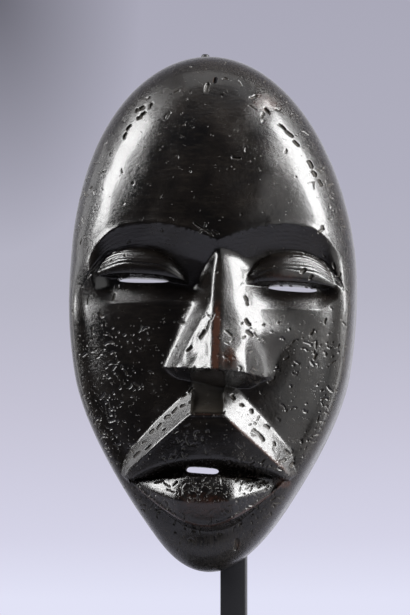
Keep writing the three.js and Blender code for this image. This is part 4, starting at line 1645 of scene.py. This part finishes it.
@dataclass(frozen=True)
class Stand:
    """A square bar set in a plate, with a thin rod that hooks the mask's top rim."""

    stance: Stance = field(default_factory=Stance)
    post: float = 12.0
    post_top: float = 214.0
    post_edge: float = 0.6
    foot: float = 120.0
    foot_height: float = 10.0
    foot_edge: float = 1.0
    socket: float = 4.0
    clearance: float = 0.3
    rod: float = 4.0
    rod_end: float = 1.3
    weld_height: float = 2.4
    hook_u: float = -8.4
    hook_rise: float = 4.9
    rim_curve: float = 0.4
    top_edge: float = 124.5
    rim_width: float = 8.0
    sharp_deg: float = 35.0

    def build(self) -> list[bpy.types.Object]:
        """Make the post with its rod, and the foot."""
        finish = SatinPaint().build()
        pieces = [self.upright(), self.plate()]
        for piece in pieces:
            piece.data.materials.append(finish)
            piece.data.shade_smooth()
            piece.data.set_sharp_from_angle(angle=math.radians(self.sharp_deg))
            log.info("%s: %d faces", piece.name, len(piece.data.polygons))
        return pieces

    def upright(self) -> bpy.types.Object:
        """Make the bar, the weld on its top and the rod that grows out of it."""
        bm = bmesh.new()
        bottom = self.foot_height - self.socket + self.clearance
        rounded_block(bm, (self.post, self.post, self.post_top - bottom), bottom, self.post_edge)
        wide, narrow = 0.95 * self.rod, 0.52 * self.rod
        made = bmesh.ops.create_cone(
            bm, cap_ends=True, segments=32, radius1=wide, radius2=narrow, depth=self.weld_height
        )["verts"]
        bmesh.ops.translate(bm, verts=made, vec=(0, 0, self.post_top + 1.0))
        self.bend_rod(bm)
        bmesh.ops.scale(bm, verts=bm.verts, vec=(MM, MM, MM))
        bmesh.ops.recalc_face_normals(bm, faces=bm.faces)
        return new_object("post_and_rod", bm)

    def route(self) -> list[Vector]:
        """Points along the rod, with its bends rounded."""
        reach = self.rod / 2 + self.clearance
        under = self.top_edge - self.rim_width - self.rim_curve - reach
        hooked = np.array(
            [
                [self.hook_u, under, self.rod],
                [self.hook_u, under, -reach],
                [self.hook_u, self.top_edge + self.hook_rise, -reach],
            ]
        )
        corners = [Vector((0, 0, self.post_top - 2)), Vector((0, 0, self.post_top + 3 * self.rod))]
        corners += [Vector(row) / MM for row in self.stance.to_world(hooked)]
        path = [corners[0]]
        bend = 0.75 * self.rod
        for before, corner, after in zip(corners[:-2], corners[1:-1], corners[2:]):
            start = corner + (before - corner).normalized() * bend
            end = corner + (after - corner).normalized() * bend
            for t in (step / 6 for step in range(7)):
                path.append(start * (1 - t) ** 2 + corner * (2 * t * (1 - t)) + end * t * t)
        return path + [corners[-1]]

    def bend_rod(self, bm: bmesh.types.BMesh) -> None:
        """Draw a round section along the rod's route and close its end.

        Args:
            bm: The mesh of the bar.
        """
        path = self.route()
        ring = bmesh.ops.create_circle(bm, cap_ends=False, segments=20, radius=self.rod / 2)["verts"]
        edges = list({edge for vert in ring for edge in vert.link_edges})
        bmesh.ops.translate(bm, verts=ring, vec=path[0])
        heading = Vector((0, 0, 1))
        for before, here, after in zip(path[:-1], path[1:], path[2:] + [path[-1] * 2 - path[-2]]):
            ring, edges = extrude(bm, edges)
            bmesh.ops.translate(bm, verts=ring, vec=here - before)
            turned = ((here - before).normalized() + (after - here).normalized()).normalized()
            spin = heading.rotation_difference(turned).to_matrix()
            bmesh.ops.rotate(bm, verts=ring, cent=here, matrix=spin)
            heading = turned
        cap = bmesh.ops.contextual_create(bm, geom=edges)["faces"]
        rim = list({edge for face in cap for edge in face.edges})
        bmesh.ops.bevel(
            bm, geom=rim, offset=self.rod_end, affect="EDGES", segments=4, profile=0.5, material=-1
        )

    def plate(self) -> bpy.types.Object:
        """Make the foot plate with the socket for the bar."""
        bm = bmesh.new()
        rounded_block(bm, (self.foot, self.foot, self.foot_height), 0.0, self.foot_edge)
        bmesh.ops.scale(bm, verts=bm.verts, vec=(MM, MM, MM))
        piece = new_object("foot_plate", bm)
        hole = bmesh.new()
        bmesh.ops.create_cube(hole, size=1.0)
        side = (self.post + 2 * self.clearance) * MM
        bmesh.ops.scale(hole, verts=hole.verts, vec=(side, side, 2 * self.socket * MM))
        bmesh.ops.translate(hole, verts=hole.verts, vec=(0, 0, self.foot_height * MM))
        cut_with(piece, [new_object("socket_cutter", hole)])
        return piece


# The studio


class Side(Enum):
    """Which side of the mask a lamp stands on, as its sign along x."""

    LEFT = -1
    RIGHT = 1


@dataclass(frozen=True)
class Softbox:
    """A large soft lamp aimed at the mask."""

    name: str
    side: Side
    place: tuple[float, float, float]  # metres from the mask: to its side, back and up
    size: Point  # metres
    watts: float

    def build(self, target: Vector) -> None:
        """Hang the lamp.

        Args:
            target: What it is aimed at.
        """
        lamp = bpy.data.lights.new(self.name, "AREA")
        lamp.shape = "RECTANGLE"
        lamp.size, lamp.size_y = self.size
        lamp.energy = self.watts
        holder = bpy.data.objects.new(self.name, lamp)
        x, y, z = self.place
        holder.location = target + Vector((x * self.side.value, y, z))
        holder.rotation_euler = (target - holder.location).to_track_quat("-Z", "Y").to_euler()
        holder.visible_camera = False
        bpy.context.scene.collection.objects.link(holder)


@dataclass(frozen=True)
class Studio:
    """The pale floor, the soft lamps, the paper backdrop's light and the camera."""

    target: tuple[float, float, float] = (-7.0, -25.6, 196.5)
    distance: float = 1300.0
    turn_deg: float = 5.0
    picture: Point = (410, 615)
    mm_per_pixel: float = 240 / 516
    centre_pixel: Point = (214.5, 314.5)
    film: float = 36.0
    lamps: tuple[Softbox, ...] = (
        Softbox("left_softbox", Side.LEFT, (0.84, -0.17, 0.55), (0.28, 0.85), 16.0),
        Softbox("left_rim", Side.LEFT, (0.90, 0.40, 0.10), (0.3, 0.9), 1.5),
        Softbox("right_softbox", Side.RIGHT, (0.86, -0.12, 0.58), (0.36, 1.05), 28.0),
        Softbox("right_rim", Side.RIGHT, (0.92, 0.20, -0.15), (0.3, 0.6), 2.5),
        Softbox("top_strip", Side.RIGHT, (0.0, 0.0, 0.95), (0.6, 0.3), 0.8),
        Softbox("right_card", Side.RIGHT, (0.80, -0.62, 0.10), (1.0, 1.2), 4.0),
    )
    # The backdrop's grey from top to bottom, and the room's from behind the camera to the paper.
    paper: tuple[tuple[float, str], ...] = (
        (0.0, "#a9a8b8"),
        (0.29, "#b0afbf"),
        (0.47, "#b7b6c5"),
        (0.65, "#c6c4d5"),
        (0.83, "#d5d4e7"),
        (0.92, "#e2e3f6"),
    )
    room: tuple[tuple[float, str], ...] = (
        (0.0, "#26262a"),
        (0.55, "#46464d"),
        (0.85, "#8a8a96"),
        (1.0, "#f0f0fa"),
    )
    floor_glow: str = "#b8b8c2"

    def build(self) -> None:
        """Set up everything that isn't part of the object."""
        target = Vector(self.target) * MM
        for lamp in self.lamps:
            lamp.build(target)
        self.backdrop()
        self.floor()
        self.camera(target)
        bpy.context.scene.view_settings.view_transform = "Standard"

    def camera(self, target: Vector) -> None:
        """Place the camera at the photograph's angle and frame.

        Args:
            target: What it is aimed at.
        """
        wide, high = self.picture
        lens = bpy.data.cameras.new("camera")
        lens.sensor_fit, lens.sensor_height = "VERTICAL", self.film
        lens.lens = self.film * self.distance / (high * self.mm_per_pixel)
        lens.shift_x = -(self.centre_pixel[0] - wide / 2) / high
        lens.shift_y = (self.centre_pixel[1] - high / 2) / high
        turn = math.radians(self.turn_deg)
        away = Vector((math.sin(turn), -math.cos(turn), 0))
        holder = bpy.data.objects.new("camera", lens)
        holder.location = target + away * self.distance * MM
        holder.rotation_euler = (-away).to_track_quat("-Z", "Y").to_euler()
        bpy.context.scene.collection.objects.link(holder)
        bpy.context.scene.camera = holder

    def backdrop(self) -> None:
        """Light the room: grey paper behind, a dim room in front for the gloss to mirror."""
        world = bpy.data.worlds.new("studio_room")
        bpy.context.scene.world = world
        world.use_nodes = True
        add = partial(add_node, world.node_tree)
        direction = add("TexCoord").outputs["Generated"]
        x, y, z = add("SeparateXYZ", {0: direction}).outputs
        drop = add("MapRange", {"Value": z, "From Min": 0.12, "From Max": -0.12})
        paper = add("ValToRGB", {"Fac": drop}, stops=self.paper)
        # The paper's upper left corner lies in shade.
        corner = add(
            "Mapping", {"Vector": direction, "Location": (4.58, 0.0, -1.78), "Scale": (27.9, 0.0, 15.5)}
        )
        away = add("VectorMath", {0: corner}, operation="LENGTH")
        shade = add("MapRange", {"Value": away, "From Max": 1.45, "To Min": 0.35, "To Max": 1.0})
        shaded = add("VectorMath", {0: paper.outputs["Color"], "Scale": shade}, operation="SCALE")
        nearness = add("MapRange", {"Value": y, "From Min": -1.0, "From Max": 1.0})
        room = add("ValToRGB", {"Fac": nearness}, stops=self.room)
        # The pale floor fills the lower part of what the gloss mirrors, brighter to the right.
        below = add("MapRange", {"Value": z, "From Min": -0.5, "From Max": -0.9})
        rightward = add("MapRange", {"Value": x, "From Min": -0.4, "From Max": 0.3, "To Min": 0.1})
        glow = add("Math", {0: below, 1: rightward}, operation="MULTIPLY")
        mirrored = {0: glow, 6: room.outputs["Color"], 7: linear(self.floor_glow)}
        seen = add("LightPath").outputs["Is Camera Ray"]
        colour = add("Mix", {0: seen, 6: add("Mix", mirrored, data_type="RGBA"), 7: shaded}, data_type="RGBA")
        feed(world.node_tree.nodes["Background"], {"Color": colour})

    def floor(self) -> None:
        """Lay the pale floor."""
        bm = bmesh.new()
        bmesh.ops.create_circle(bm, cap_ends=True, segments=96, radius=0.5)
        floor = new_object("floor", bm)
        floor.data.materials.append(FloorPaper().build())
        floor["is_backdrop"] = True


# The picture


def main() -> None:
    """Load the frame, build the pieces on it and set up the studio."""
    logging.basicConfig(level=logging.INFO, format="%(message)s")
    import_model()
    boxes = [[list(corner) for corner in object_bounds()]]
    Studio().build()
    mask = CarvedMask().build()
    post, foot = Stand().build()
    for piece, node, slot in (
        (mask, "mask", "wood_patina"),
        (post, "stand_post", "black_steel"),
        (foot, "stand_foot", "black_steel"),
    ):
        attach(piece, "root")
        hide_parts(node)
    boxes.append([list(corner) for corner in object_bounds()])
    for name, (low, high) in zip(("CAD", "dressed"), boxes):
        log.info("%s box, mm: %s", name, [round((b - a) / MM, 1) for a, b in zip(low, high)])


if __name__ == "__main__":
    main()
